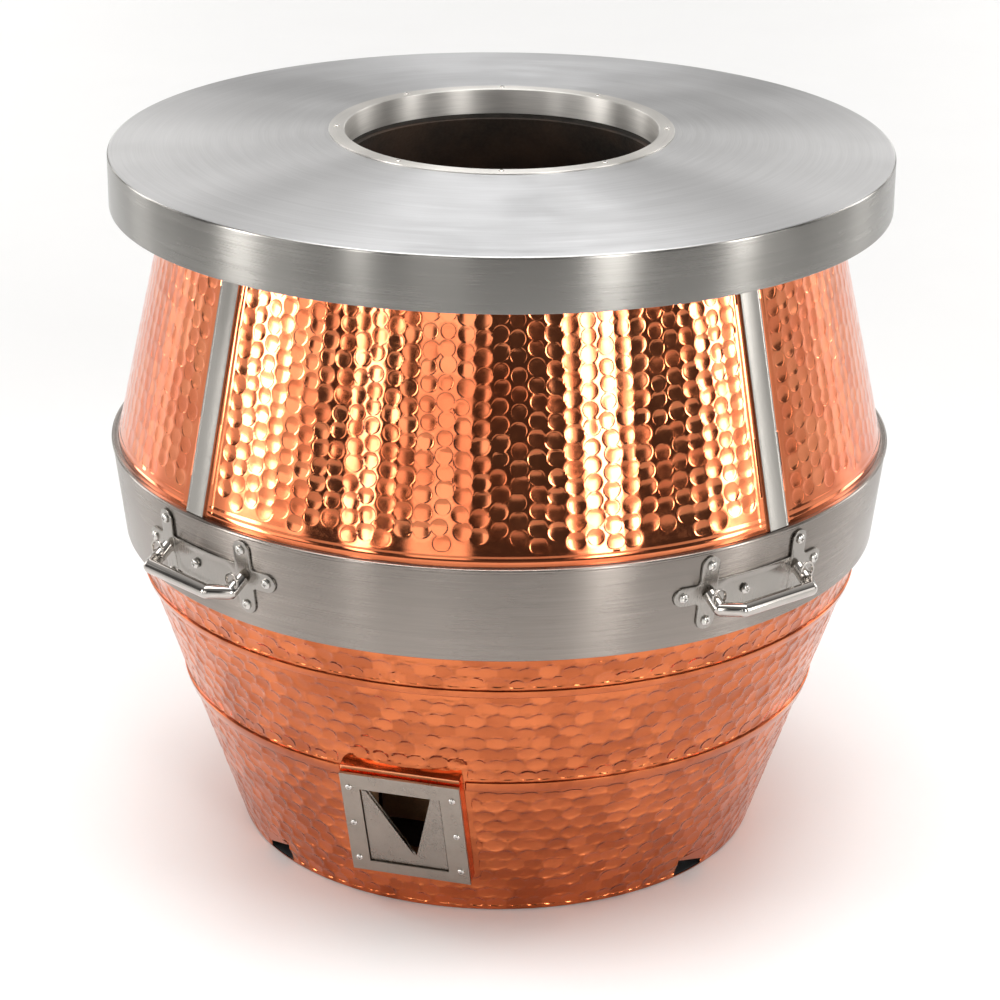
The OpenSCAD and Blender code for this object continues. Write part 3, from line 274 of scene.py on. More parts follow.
def add(tree, kind, inputs=None, **settings):
    node = tree.nodes.new("ShaderNode" + kind)
    for key, value in settings.items():
        setattr(node, key, value)
    for key, value in (inputs or {}).items():
        if isinstance(value, bpy.types.NodeSocket):
            tree.links.new(value, node.inputs[key])
        else:
            node.inputs[key].default_value = value
    return node


def calc(tree, operation, a, b=0.0, clamp=False):
    return add(tree, "Math", {0: a, 1: b}, operation=operation, use_clamp=clamp).outputs[0]


def plus(tree, a, b, clamp=False):
    return calc(tree, "ADD", a, b, clamp)


def times(tree, a, b):
    return calc(tree, "MULTIPLY", a, b)


def mixed(tree, a, b, share):
    """A share of a and the rest of b."""
    return plus(tree, times(tree, a, share), times(tree, b, 1.0 - share))


def blend(tree, factor, a, b):
    return add(tree, "Mix", {0: factor, 6: a, 7: b}, data_type="RGBA").outputs[2]


def spread(tree, value, low, high, to_low, to_high):
    """Smooth step of a value from one range to another."""
    inputs = {0: value, 1: low, 2: high, 3: to_low, 4: to_high}
    return add(tree, "MapRange", inputs, interpolation_type="SMOOTHSTEP").outputs[0]


def object_place(tree):
    return add(tree, "TexCoord").outputs["Object"]


def noise(tree, vector, scale, detail=3.0, rough=0.55, w=None):
    inputs = {"Vector": vector, "Scale": scale, "Detail": detail, "Roughness": rough}
    if w is not None:
        inputs["W"] = w
    node = add(tree, "TexNoise", inputs, noise_dimensions="4D" if w is not None else "3D")
    return node.outputs["Fac"]


def feed(tree, node, socket, value):
    tree.links.new(value, node.inputs[socket])


def surface(name, settings=None):
    """A new material with one Principled shader and its fixed settings."""
    material = bpy.data.materials.new(name)
    material.use_nodes = True
    tree = material.node_tree
    tree.nodes.clear()
    shader = add(tree, "BsdfPrincipled", settings)
    feed(tree, add(tree, "OutputMaterial"), "Surface", shader.outputs[0])
    return material, tree, shader


def bump(tree, height, strength, distance):
    """Bump of a height, its distance in millimetres."""
    return add(tree, "Bump", {"Height": height, "Strength": strength, "Distance": distance * MM})


def raise_by(tree, shader, height, strength, distance):
    feed(tree, shader, "Normal", bump(tree, height, strength, distance).outputs[0])


def tone(colour, share):
    return tuple(min(1.0, c * share) for c in colour) + (1.0,)


def from_axis(tree, x, y):
    return calc(tree, "SQRT", plus(tree, times(tree, x, x), times(tree, y, y)))


def ring_grain(tree, pitch, along):
    """Noise drawn out round the drum's axis: pitch across in millimetres, along as its scale round it."""
    x, y, z = add(tree, "SeparateXYZ", {0: object_place(tree)}).outputs
    r = from_axis(tree, x, y)
    across = 1.0 / (pitch * MM)
    vector = add(tree, "CombineXYZ", {
        0: times(tree, calc(tree, "DIVIDE", x, r), along),
        1: times(tree, calc(tree, "DIVIDE", y, r), along),
        2: times(tree, r, across)}).outputs[0]
    return noise(tree, vector, 1.0, 2.0, 0.6, w=times(tree, z, across))


BRUSH_PULL = 0.92
QUARTER_TURN = 0.25


def brushed(name, colour, rough, pitch, along, lift, grain):
    """Steel brushed round the drum's axis, along which its tangent runs."""
    material, tree, shader = surface(name, {"Metallic": 1.0, "Anisotropic": BRUSH_PULL,
                                            "Anisotropic Rotation": QUARTER_TURN})
    fine = ring_grain(tree, pitch, along)
    coarse = ring_grain(tree, pitch * 9, along / 2)
    drift = noise(tree, object_place(tree), 7.0, 3.0)
    mark = mixed(tree, fine, coarse, 0.6)
    bright = spread(tree, mark, 0.3, 0.7, 0.0, 1.0)
    feed(tree, shader, "Base Color", blend(tree, bright, tone(colour, 1 - grain), tone(colour, 1 + grain)))
    drawn = spread(tree, mark, 0.2, 0.8, rough - 0.04, rough + 0.04)
    feed(tree, shader, "Roughness", plus(tree, drawn, spread(tree, drift, 0.35, 0.7, -0.02, 0.04)))
    feed(tree, shader, "Tangent", add(tree, "Tangent", direction_type="RADIAL", axis="Z").outputs[0])
    raise_by(tree, shader, fine, lift, 0.05)
    return material


def metal(name, colour, rough, patch, scratch, stretch, vary):
    """Plain metal with soft patches and fine marks drawn out along one direction."""
    material, tree, shader = surface(name, {"Metallic": 1.0})
    place_at = object_place(tree)
    patches = noise(tree, place_at, patch, 4.0)
    drawn = add(tree, "Mapping", {"Vector": place_at, "Scale": tuple(900.0 / s for s in stretch)})
    marks = noise(tree, drawn.outputs[0], 1.0, 3.0, 0.7)
    shade = mixed(tree, patches, marks, 0.6)
    bright = spread(tree, shade, 0.3, 0.7, 0.0, 1.0)
    feed(tree, shader, "Base Color", blend(tree, bright, tone(colour, 1 - vary), tone(colour, 1 + vary / 2)))
    feed(tree, shader, "Roughness", spread(tree, shade, 0.25, 0.75, rough * 0.8, rough * 1.25))
    raise_by(tree, shader, marks, scratch, 0.06)
    return material


def hammered_copper(name, light, dark, rough, coat, rim, rim_width):
    """Beaten copper: each mark has its own tone and a crisp rim, whose ring is darkened in colour as tarnish
    and painted shade, and bare stretches are smoother.
    """
    material, tree, shader = surface(name, {"Metallic": 1.0, "Coat Weight": coat, "Coat Roughness": 0.10})
    place_at = object_place(tree)
    reach = add(tree, "Attribute", attribute_name="mark_reach").outputs["Fac"]
    own = add(tree, "Attribute", attribute_name="mark_tone").outputs["Fac"]
    tarnish = noise(tree, place_at, 7.0, 5.0, 0.6)
    speck = noise(tree, place_at, 120.0, 4.0, 0.65)
    streak = add(tree, "Mapping", {"Vector": place_at, "Scale": (500.0, 500.0, 90.0)}).outputs[0]
    scratch = noise(tree, streak, 1.0, 2.0)
    shade = mixed(tree, tarnish, own, 0.75)
    warm = blend(tree, spread(tree, shade, 0.32, 0.66, 0.0, 1.0), light, dark)
    # Painted shade with some tarnish: a darker ring is painted round the rim of every mark
    darker = spread(tree, reach, 0.78, 0.97, 0.0, 0.15)
    rim_tarnish_and_shade = times(tree, darker, spread(tree, reach, 1.02, 1.10, 1.0, 0.0))
    rim_tarnished_and_shaded = blend(tree, rim_tarnish_and_shade, warm, tone(dark[:3], 0.45))
    spotted = blend(tree, spread(tree, speck, 0.62, 0.82, 0.0, 0.3), rim_tarnished_and_shaded, tone(dark[:3], 0.7))
    feed(tree, shader, "Base Color", spotted)
    bare = spread(tree, reach, 1.02, 1.2, 0.0, -0.35 * rough)
    own_dull = plus(tree, spread(tree, own, 0.0, 1.0, -0.03, 0.03), bare)
    dull = plus(tree, spread(tree, speck, 0.3, 0.8, rough - 0.03, rough + 0.05), own_dull)
    feed(tree, shader, "Roughness", dull)
    fine = bump(tree, plus(tree, speck, scratch), 0.06, 0.08)
    edge = bump(tree, spread(tree, reach, 1.0 - rim_width, 1.0, 0.0, 1.0), 1.0, rim)
    feed(tree, edge, "Normal", fine.outputs[0])
    feed(tree, shader, "Normal", edge.outputs[0])
    return material


def earthen(name, light, dark, patch, grit, lift, rough=0.9):
    """Clay, wool, rope and castings: a rough surface with stains and grit."""
    material, tree, shader = surface(name)
    place_at = object_place(tree)
    stains = noise(tree, place_at, patch, 5.0, 0.6)
    grains = noise(tree, place_at, grit, 4.0, 0.7)
    shade = mixed(tree, stains, grains, 0.65)
    feed(tree, shader, "Base Color", blend(tree, spread(tree, shade, 0.32, 0.66, 0.0, 1.0), dark, light))
    feed(tree, shader, "Roughness", spread(tree, grains, 0.3, 0.7, rough - 0.12, rough + 0.06))
    raise_by(tree, shader, plus(tree, grains, stains), 0.5, lift)
    return material


def moulded(name, colour, rough):
    """Moulded plastic with a fine stipple."""
    material, tree, shader = surface(name)
    place_at = object_place(tree)
    stipple = noise(tree, place_at, 1600.0, 2.0)
    wear = noise(tree, place_at, 60.0, 3.0)
    feed(tree, shader, "Base Color", blend(tree, wear, tone(colour, 0.85), tone(colour, 1.2)))
    feed(tree, shader, "Roughness", spread(tree, wear, 0.3, 0.7, rough - 0.06, rough + 0.08))
    raise_by(tree, shader, stipple, 0.25, 0.05)
    return material


def clay_darker_upwards(name):
    """Fired clay, darkening to near black towards the mouth."""
    material, tree, shader = surface(name)
    place_at = object_place(tree)
    height = add(tree, "SeparateXYZ", {0: place_at}).outputs[2]
    stains = noise(tree, place_at, 9.0, 5.0, 0.6)
    grains = noise(tree, place_at, 260.0, 4.0, 0.7)
    clay = blend(tree, stains, (0.16, 0.085, 0.05, 1), (0.28, 0.16, 0.10, 1))
    upward_darkening = plus(tree, spread(tree, height, 0.45, 0.80, 0.15, 0.9),
                spread(tree, stains, 0.3, 0.7, -0.15, 0.15), clamp=True)
    feed(tree, shader, "Base Color", blend(tree, upward_darkening, clay, (0.022, 0.017, 0.013, 1)))
    feed(tree, shader, "Roughness", spread(tree, grains, 0.3, 0.7, 0.78, 0.97))
    raise_by(tree, shader, plus(tree, grains, times(tree, stains, 2.0)), 0.6, 0.8)
    return material


# brushed: name, colour, roughness, pitch, scale round the drum, bump, grain
# metal: name, colour, roughness, patch scale, bump, length of the marks along x, y and z, change of tone
# earthen: name, light, dark, patch scale, grit scale, bump, roughness
MATERIALS = {
    "top": brushed("top_steel", (0.48, 0.48, 0.485), 0.36, 0.8, 4.0, 0.05, 0.10),
    # Painted shade: the skirt and band steels are darkened copies of the brushed steel, so that what they
    # reflect reads darker
    "skirt": brushed("skirt_steel_shaded", (0.29, 0.282, 0.266), 0.26, 0.6, 6.0, 0.05, 0.08),
    "band": brushed("band_steel", (0.285, 0.255, 0.23), 0.26, 0.7, 5.0, 0.06, 0.10),
    "flange": brushed("flange_steel", (0.60, 0.58, 0.55), 0.38, 0.35, 7.0, 0.05, 0.08),
    "throat": brushed("throat_steel", (0.60, 0.58, 0.55), 0.50, 0.5, 5.0, 0.04, 0.12),
    "satin": metal("satin_steel", (0.34, 0.32, 0.295), 0.25, 24.0, 0.07, (1.0, 1.0, 18.0), 0.10),
    "strip": metal("strip_steel", (0.48, 0.46, 0.43), 0.22, 6.0, 0.03, (1.0, 1.0, 60.0), 0.04),
    "frame": metal("frame_steel", (0.34, 0.30, 0.26), 0.30, 30.0, 0.08, (8.0, 1.0, 1.0), 0.12),
    "leaf": metal("leaf_steel", (0.32, 0.285, 0.25), 0.28, 26.0, 0.08, (1.0, 1.0, 9.0), 0.14),
    "polished": metal("polished_steel", (0.52, 0.49, 0.46), 0.08, 30.0, 0.03, (1.0, 1.0, 6.0), 0.06),
    "screw": metal("screw_steel", (0.62, 0.60, 0.57), 0.20, 90.0, 0.05, (1.0, 1.0, 1.0), 0.12),
    "structure": metal("structure_steel", (0.30, 0.30, 0.31), 0.50, 12.0, 0.15, (1.0, 1.0, 4.0), 0.20),
    "galvanised": metal("galvanised_steel", (0.50, 0.51, 0.52), 0.42, 55.0, 0.08, (1.0, 1.0, 1.0), 0.24),
    "heat": earthen("heat_steel", (0.46, 0.27, 0.14, 1), (0.27, 0.15, 0.08, 1), 14.0, 300.0, 0.1, 0.6),
    # Painted light: the hood's copper is paler and lighter than the drum's, standing in for highlights on a
    # face that reflects shade
    "hood": metal("hood_copper_lit", (0.95, 0.37, 0.18), 0.17, 30.0, 0.05, (1.0, 1.0, 12.0), 0.10),
    "brass": metal("fitting_brass", (0.72, 0.50, 0.20), 0.24, 60.0, 0.06, (1.0, 1.0, 4.0), 0.12),
    "pipe": metal("pipe_copper", (0.80, 0.36, 0.20), 0.28, 40.0, 0.05, (1.0, 6.0, 1.0), 0.14),
    "copper_up": hammered_copper("copper_upper", (0.93, 0.28, 0.115, 1), (0.84, 0.20, 0.075, 1),
                                 rough=0.12, coat=0.3, rim=0.13, rim_width=0.18),
    # Painted shade: the lower courses' copper is a darker copy of the upper copper, so that the bright floor
    # it reflects reads darker
    "copper_low": hammered_copper("copper_lower_shaded", (0.64, 0.175, 0.060, 1), (0.42, 0.102, 0.033, 1),
                                  rough=0.17, coat=0.15, rim=0.9, rim_width=0.40),
    "iron": earthen("cast_iron", (0.075, 0.072, 0.07, 1), (0.028, 0.027, 0.027, 1), 22.0, 420.0, 0.35, 0.66),
    "wool": earthen("insulation", (0.66, 0.60, 0.42, 1), (0.45, 0.39, 0.24, 1), 16.0, 300.0, 2.0),
    "rope": earthen("seal_rope", (0.060, 0.052, 0.044, 1), (0.025, 0.022, 0.019, 1), 30.0, 500.0, 0.8),
    "clay": clay_darker_upwards("fired_clay"),
    "black": moulded("black_plastic", (0.020, 0.020, 0.021), 0.36),
    "red": moulded("red_plastic", (0.50, 0.035, 0.025), 0.30),
}


# Hammered copper

# Reach and tone kept where no mark lies
NO_MARK = 1.3
MID_TONE = 0.5


def dents(us, vs, blows):
    """Overlapping hammer marks over a grid: their height, how far each point is from its mark's middle
    as a share of the mark's radius, and the mark's own tone. A blow is (u, v, radius across, radius
    along, depth, lean across, lean along, tone)."""
    field = np.zeros((len(us), len(vs)))
    reach = np.full((len(us), len(vs)), NO_MARK)
    tones = np.full((len(us), len(vs)), MID_TONE)
    for u, v, ru, rv, depth, lean_u, lean_v, tone_here in blows:
        i0, i1 = np.searchsorted(us, (u - 1.25 * ru, u + 1.25 * ru))
        j0, j1 = np.searchsorted(vs, (v - 1.25 * rv, v + 1.25 * rv))
        if i0 == i1 or j0 == j1:
            continue
        du = (us[i0:i1, None] - u) / ru
        dv = (vs[None, j0:j1] - v) / rv
        d = np.sqrt(du * du + dv * dv)
        inside = np.clip(1 - d ** 2, 0, 1)
        bowl = -depth * inside + (lean_u * du + lean_v * dv) * np.clip(1 - d ** 6, 0, 1)
        bowl = np.where(d < 1, np.minimum(bowl, 0.02), 0.0)
        part = (slice(i0, i1), slice(j0, j1))
        field[part] = np.where(d < 1, np.minimum(field[part], bowl), field[part])
        tones[part] = np.where(d < reach[part], tone_here, tones[part])
        reach[part] = np.minimum(reach[part], d)
    return field, reach, tones


def shell_faces(count, rows, keys, is_open, wrap):
    """Faces of a closed sheet: a fine outer grid, a skin between key rows, and walls at every edge."""
    columns = count if wrap else count - 1
    bands = len(keys) - 1

    def outer(j, k):
        return j % count * rows + k

    def inner(j, m):
        return count * rows + j % count * len(keys) + m

    def filled(j, m):
        return (wrap or 0 <= j < columns) and 0 <= m < bands and not is_open(j % count, m)

    faces = []
    for j in range(columns):
        for m in range(bands):
            if not filled(j, m):
                continue
            k0, k1 = keys[m], keys[m + 1]
            for k in range(k0, k1):
                faces.append((outer(j, k), outer(j + 1, k), outer(j + 1, k + 1), outer(j, k + 1)))
            faces.append((inner(j, m), inner(j, m + 1), inner(j + 1, m + 1), inner(j + 1, m)))
            if not filled(j, m - 1):
                faces.append((outer(j + 1, k0), outer(j, k0), inner(j, m), inner(j + 1, m)))
            if not filled(j, m + 1):
                faces.append((outer(j, k1), outer(j + 1, k1), inner(j + 1, m + 1), inner(j, m + 1)))
            if not filled(j - 1, m):
                side = [outer(j, k) for k in range(k0, k1 + 1)]
                faces.append((*side, inner(j, m + 1), inner(j, m)))
            if not filled(j + 1, m):
                side = [outer(j + 1, k) for k in range(k1, k0 - 1, -1)]
                faces.append((*side, inner(j + 1, m), inner(j + 1, m + 1)))
    return faces


def sheet(node, kind, azimuths, heights, keys, outer, inner, marks, is_open, wrap, extra=None):
    """One copper sheet with its hammer marks, whose reach and tone are kept for its material."""
    name = node + "_hammered"
    field, reach, tones = marks
    turns = np.radians(azimuths)
    grid = on_drum(outer + field, turns, np.repeat(heights[None, :], len(turns), axis=0))
    skin = on_drum(inner[None, :], turns, np.repeat(heights[keys][None, :], len(turns), axis=0))
    points = np.concatenate([grid.reshape(-1, 3), skin.reshape(-1, 3)])
    faces = shell_faces(len(azimuths), len(heights), list(keys), is_open, wrap)
    if extra:
        points, faces = joined([(points, faces), extra])
    mesh = mesh_of(name, points, faces)
    for title, grid_values, elsewhere in (("mark_reach", reach, NO_MARK), ("mark_tone", tones, MID_TONE)):
        values = np.full(len(points), elsewhere, np.float32)
        values[:grid_values.size] = grid_values.reshape(-1)
        mesh.attributes.new(title, "FLOAT", "POINT").data.foreach_set("value", values)
    loose = bmesh.new()
    loose.from_mesh(mesh)
    bmesh.ops.delete(loose, geom=[v for v in loose.verts if not v.link_faces], context="VERTS")
    loose.to_mesh(mesh)
    loose.free()
    place(name, mesh, [MATERIALS[kind]], "drum", (node,), 32.0)


# Panels of the upper cone, each a quarter of the drum less its joint
PANELS = (("panel_front", 1), ("panel_right", 2), ("panel_rear", 3), ("panel_left", 0))
UPPER_STEP = 2.1
UPPER_PITCH = 19.6
UPPER_DEPTH = 0.52
UPPER_MARK_R = (9.2, 11.0)
UPPER_LOW_Z = 482.0
UPPER_HIGH_Z = 763.7
UPPER_SPAN = 44.35
# Marks keep this far from the joints, and their first row begins this far up; the band hides the foot
MARK_MARGIN = 27.5
MARK_START = 24.0
HIDDEN_FOOT = 3.2
# The lines at the edges are this wide, and marks fade in beyond them
SIDE_LINES = 8.5
FOOT_LINES = 13.0
FADE = 1.5


def bead(distance, centre, half, height):
    """A round raised line at a distance from an edge."""
    t = np.clip(np.abs(distance - centre) / half, 0, 1)
    return height * (1 - t * t) ** 2


def upper_panel(node, index, seed):
    """A panel with raised lines round its field of marks."""
    rng = np.random.default_rng(seed)
    middle = STRIPS[index] - 45
    mean_r = (SHOULDER_R + NECK_R) / 2
    count = int(2 * math.radians(UPPER_SPAN) * mean_r / UPPER_STEP)
    turns = np.linspace(-UPPER_SPAN, UPPER_SPAN, count)
    slant = math.hypot(UPPER_HIGH_Z - UPPER_LOW_Z, upper_r(UPPER_LOW_Z) - upper_r(UPPER_HIGH_Z))
    heights = np.linspace(UPPER_LOW_Z, UPPER_HIGH_Z, int(slant / UPPER_STEP))
    us = np.radians(turns) * mean_r
    vs = (heights - UPPER_LOW_Z) * slant / (UPPER_HIGH_Z - UPPER_LOW_Z)
    edge_u = math.radians(45) * mean_r - MARK_MARGIN
    columns = round(2 * edge_u / UPPER_PITCH)
    pitch = 2 * edge_u / columns
    centres = []
    for c in range(columns):
        u = -edge_u + (c + 0.5) * pitch
        v = MARK_START + rng.uniform(0, UPPER_PITCH)
        while v < slant - 4:
            r = rng.uniform(*UPPER_MARK_R)
            tilt = rng.normal(0, 0.13, 2)
            centres.append((u + rng.normal(0, 1.0), v + rng.normal(0, 0.9), r * pitch / UPPER_PITCH, r,
                            UPPER_DEPTH * rng.uniform(0.75, 1.2), tilt[0], tilt[1], rng.uniform(0, 1)))
            v += UPPER_PITCH * rng.uniform(0.92, 1.02)
    field, reach, tones = dents(us, vs, centres)
    radii = upper_r(heights)
    side = radii[None, :] * np.radians(45 - np.abs(turns))[:, None] - STRIP_HALF
    low = np.repeat((vs - HIDDEN_FOOT)[None, :], count, axis=0)
    high = np.repeat((slant - vs)[None, :], count, axis=0)
    inside = np.clip((side - SIDE_LINES) / FADE, 0, 1) * np.clip((low - FOOT_LINES) / FADE, 0, 1)
    field = field * inside
    reach = NO_MARK - (NO_MARK - reach) * inside
    frame_lines = bead(side, 3.6, 2.6, 0.75) + bead(side, 8.6, 1.8, 0.5)
    foot_lines = bead(low, 5.0, 3.0, 0.9) + bead(low, 11.6, 2.2, 0.6)
    lines = np.maximum(np.where(low > 4, frame_lines, 0), np.where(side > 2, foot_lines, 0))
    lines = np.maximum(lines, bead(high, 3.0, 2.0, 0.3))
    keys = np.array([0, len(heights) - 1])
    sheet(node, "copper_up", turns + middle, heights, keys, radii[None, :] + lines, radii[keys] - SHEET_T,
          (field, reach, tones), lambda j, m: False, wrap=False)


# Courses of the lower cone
LOWER_STEP = 2.8
ROW_STEP = 2.9
LOWER_DEPTH = 1.3
LOWER_PITCH = (23.0, 16.4)
LOWER_MARK_ACROSS = (11.8, 15.2)
LOWER_MARK_ALONG = (9.2, 11.4)
RIB_PROUD = 2.8


def snapped(values, marks):
    """Values of which the nearest one is moved onto each mark."""
    values = values.copy()
    for mark in marks:
        values[np.argmin(np.abs(values - mark))] = mark
    return values


def rows_between(keys, step):
    """Heights with every key height among them, and the keys' places."""
    heights, places = [keys[0]], [0]
    for low, high in zip(keys, keys[1:]):
        count = max(1, round((high - low) / step))
        heights += [low + (high - low) * (i + 1) / count for i in range(count)]
        places.append(len(heights) - 1)
    return np.array(heights), np.array(places)


def rib_shape(low, high):
    """Heights across a rounded rib, and how far it stands out of the copper at each."""
    return np.array([(low, 0.9), (low + 0.35, 1.9), (low + 0.8, 2.5), (low + 1.5, RIB_PROUD),
                     (high - 1.5, RIB_PROUD), (high - 0.8, 2.5), (high - 0.3, 1.9), (high, 0.9),
                     (high + 0.35, 0.15), (high + 1.0, 0.0)]).T


def half_angle(half, z):
    """Azimuth that half a width takes up on the lower cone."""
    return math.degrees(math.asin(half / lower_r(z)))


def lower_dents(azimuths, heights, low, high, seed):
    """Marks of a course between two heights, faded at its edges and beside the door box."""
    rng = np.random.default_rng(seed)
    lean = math.hypot(1, (BELLY_R - BASE_R) / BAND_Z)
    mean_r = lower_r((low + high) / 2)
    us = np.radians(azimuths) * mean_r
    vs = heights * lean
    around = 2 * math.pi * mean_r
    columns = round(around / LOWER_PITCH[0])
    pitch = around / columns
    centres = []
    rows = max(1, round((high - low) * lean / LOWER_PITCH[1]))
    step = (high - low) * lean / rows
    for row in range(rows):
        v = low * lean + (row + 0.5) * step
        for column in range(columns):
            u = us[0] + (column + 0.5 * (row % 2)) * pitch + rng.normal(0, 2.2)
            across, along = rng.uniform(*LOWER_MARK_ACROSS), rng.uniform(*LOWER_MARK_ALONG)
            tilt = rng.normal(0, 0.5, 2)
            depth = LOWER_DEPTH * rng.uniform(0.7, 1.25)
            blow = (v + rng.normal(0, 1.2), across, along, depth, tilt[0], tilt[1], rng.uniform(0, 1))
            for shift in (-around, 0, around):
                centres.append((u + shift,) + blow)
    field, reach, tones = dents(us, vs, centres)
    near = (np.clip((heights - low) / 3.0, 0, 1) * np.clip((high - heights) / 3.0, 0, 1))[None, :]
    from_door = np.abs(lower_r(heights)[None, :] * np.radians(azimuths - DOOR_AZ)[:, None]) - BOX_HALF
    beside = np.maximum(from_door, (np.abs(heights - BOX_Z) - BOX_RISE)[None, :] * lean)
    near = near * np.clip(beside / 3.0, 0, 1)
    deepest = SHEET_T - 0.3
    return np.clip(field * near, -deepest, deepest), NO_MARK - (NO_MARK - reach) * near, tones


def lower_azimuths(low, high, marks):
    mean_r = lower_r((low + high) / 2)
    count = int(2 * math.pi * mean_r / LOWER_STEP)
    return snapped(np.linspace(-180, 180, count, endpoint=False), marks)


def between(azimuths, spans):
    """For each column of a ring, whether its middle lies in one of the spans."""
    ends = np.append(azimuths[1:], azimuths[0] + 360)
    middles = (azimuths + ends) / 2
    hit = np.zeros(len(azimuths), bool)
    for low, high in spans:
        for shift in (-360, 0, 360):
            hit |= (middles > low + shift) & (middles < high + shift)
    return hit


def vent_tongues():
    """The tongue of each air inlet, folded in along its top and wider at one side than at the other."""
    lean = math.degrees(math.atan((BELLY_R - BASE_R) / BAND_Z)) + 2.0
    tilt = Matrix.Rotation(math.radians(90 + lean), 3, "X")
    hinge = Vector((0, 0.8 - lower_r(VENT_TOP_Z), VENT_TOP_Z))
    half = VENT_HALF - 0.2
    tip = VENT_SILL_Z - VENT_TOP_Z + 6.0
    corners = rounded([(-half, 1.0), (half, 1.0), (half, -1.5), (-half, tip)], 1.2, 3)
    size = len(corners)
    centre = Vector([sum(values) / size for values in zip(*corners)])
    rings = ((0.35, -SHEET_T), (0.0, -SHEET_T + 0.35), (0.0, -0.35), (0.35, 0.0))
    parts = []
    for azimuth, side in VENTS:
        points = []
        for inset, n in rings:
            for corner in corners:
                pull = Vector(corner) - centre
                flat = centre + pull * (1 - inset / pull.length)
                points.append(tilt @ Vector((flat.x * side, flat.y, n)) + hinge)
        faces = [tuple(range(size - 1, -1, -1)), tuple(3 * size + i for i in range(size))]
        faces += walls(len(rings), size)
        if side < 0:
            faces = [tuple(reversed(face)) for face in faces]
        parts.append((at_azimuth(points, azimuth), faces))
    return joined(parts)


def bottom_course():
    """The lowest course, with the openings of the air inlets, the door and the controls."""
    low, high = 1.5, 193.7
    vent = half_angle(VENT_HALF, VENT_Z)
    service = half_angle(SERVICE_HALF, SERVICE_Z)
    spans = {
        "vent": [(azimuth - vent, azimuth + vent) for azimuth, _ in VENTS],
        "door": [(DOOR_AZ - half_angle(DOOR_LEFT, DOOR_Z), DOOR_AZ + half_angle(DOOR_RIGHT, DOOR_Z))],
        "service": [(180 - service, 180 + service)],
    }
    edges = [(edge + 180) % 360 - 180 for kind in spans.values() for span in kind for edge in span]
    azimuths = lower_azimuths(low, high, edges)
    heights, keys = rows_between([low, VENT_SILL_Z, VENT_TOP_Z, DOOR_LOW_Z, SERVICE_LOW_Z, SERVICE_TOP_Z,
                                  DOOR_TOP_Z, high], ROW_STEP)
    cut = {kind: between(azimuths, spans[kind]) for kind in spans}
    # What opens each band between two key heights, from the foot up
    cuts_of_band = {1: ("vent",), 3: ("door",), 4: ("door", "service"), 5: ("door",)}

    def is_open(j, m):
        return any(cut[kind][j] for kind in cuts_of_band.get(m, ()))

    marks = lower_dents(azimuths, heights, low=4.0, high=183.5, seed=11)
    sheet("course_bottom", "copper_low", azimuths, heights, keys, lower_r(heights)[None, :],
          lower_r(heights[keys]) - SHEET_T, marks, is_open, wrap=True, extra=vent_tongues())


def ribbed_course(node, low, rib_top, high, seed, gap):
    """A course whose lower edge is a rib that laps over the course below it."""
    lap = rib_top - 3.0
    reach = half_angle(DUCT_HALF, low)
    span = [(DOOR_AZ - reach, DOOR_AZ + reach)] if gap else []
    azimuths = lower_azimuths(low, high, [edge for pair in span for edge in pair])
    rows, proud = rib_shape(low, rib_top)
    heights = [h for h in rows if h < lap] + [lap, lap + SEAT_GAP] + [h for h in rows if h > lap + SEAT_GAP]
    more, _ = rows_between([heights[-1], high], ROW_STEP)
    heights = np.array(sorted(set(heights)) + list(more[1:]))
    seat = [int(np.argmin(np.abs(heights - z))) for z in (lap, lap + SEAT_GAP)]
    keys = np.array([0, *seat, len(heights) - 1])
    cut = between(azimuths, span)

    def is_open(j, m):
        return bool(cut[j]) and m < 2

    rib = np.interp(heights, rows, proud, left=0.0, right=0.0)[None, :]
    beside_gap = np.where(cut | np.roll(cut, 1), 0.0, 1.0)[:, None]
    outer = lower_r(heights)[None, :] + rib * beside_gap
    inner = lower_r(heights[keys]) + np.array([SEAT_GAP, SEAT_GAP, -SHEET_T, -SHEET_T])
    marks = lower_dents(azimuths, heights, rib_top + 1.5, min(high, BAND_Z + 4.0), seed)
    sheet(node, "copper_low", azimuths, heights, keys, outer, inner, marks, is_open, wrap=True)


# Steel round the drum

def two_faced(node, outline, steps, kinds, flat_from):
    """A turned piece whose flat faces have another finish than its upright ones."""
    piece = drum_piece(node, "_turned", [lathe(outline, steps)], kinds, 35.0)
    for face in piece.data.polygons:
        face.material_index = 1 if abs(face.normal.z) > flat_from else 0


def top_plate():
    outline = rounded([
        (TOP_R - STEEL_T, NECK_Z, 0.6), (TOP_R, NECK_Z, 1.1), (TOP_R, RIM_Z, 3.6), (COLLAR_R, PLATE_Z, 0),
        (PLATE_HOLE_R, PLATE_Z, 0.3), (PLATE_HOLE_R, PLATE_Z - STEEL_T, 0.3),
        (COLLAR_R, PLATE_Z - STEEL_T, 0), (TOP_R - 3.0, RIM_Z - STEEL_T, 1.0),
        (TOP_R - STEEL_T, RIM_Z - 3.4, 0.6)], 1.0, 7)
    # Upright faces take the darkened skirt steel and flat faces the lighter top steel: painted shade on the
    # skirt
    two_faced("top_plate", outline, 360, ("skirt", "top"), 0.8)


def mouth_collar():
    outline = rounded([
        (MOUTH_R, THROAT_Z, 0.6), (COLLAR_FOOT_R, THROAT_Z, 0.5), (COLLAR_FOOT_R, COLLAR_FOOT_Z, 0.5),
        (COLLAR_BORE_R, COLLAR_FOOT_Z, 0.8), (COLLAR_BORE_R, PLATE_Z, 0.4), (COLLAR_R, PLATE_Z, 0.3),
        (COLLAR_R, MOUTH_Z, 1.3), (MOUTH_R, MOUTH_Z, 1.6)], 0.5, 6)
    two_faced("mouth_collar", outline, 256, ("throat", "flange"), 0.7)


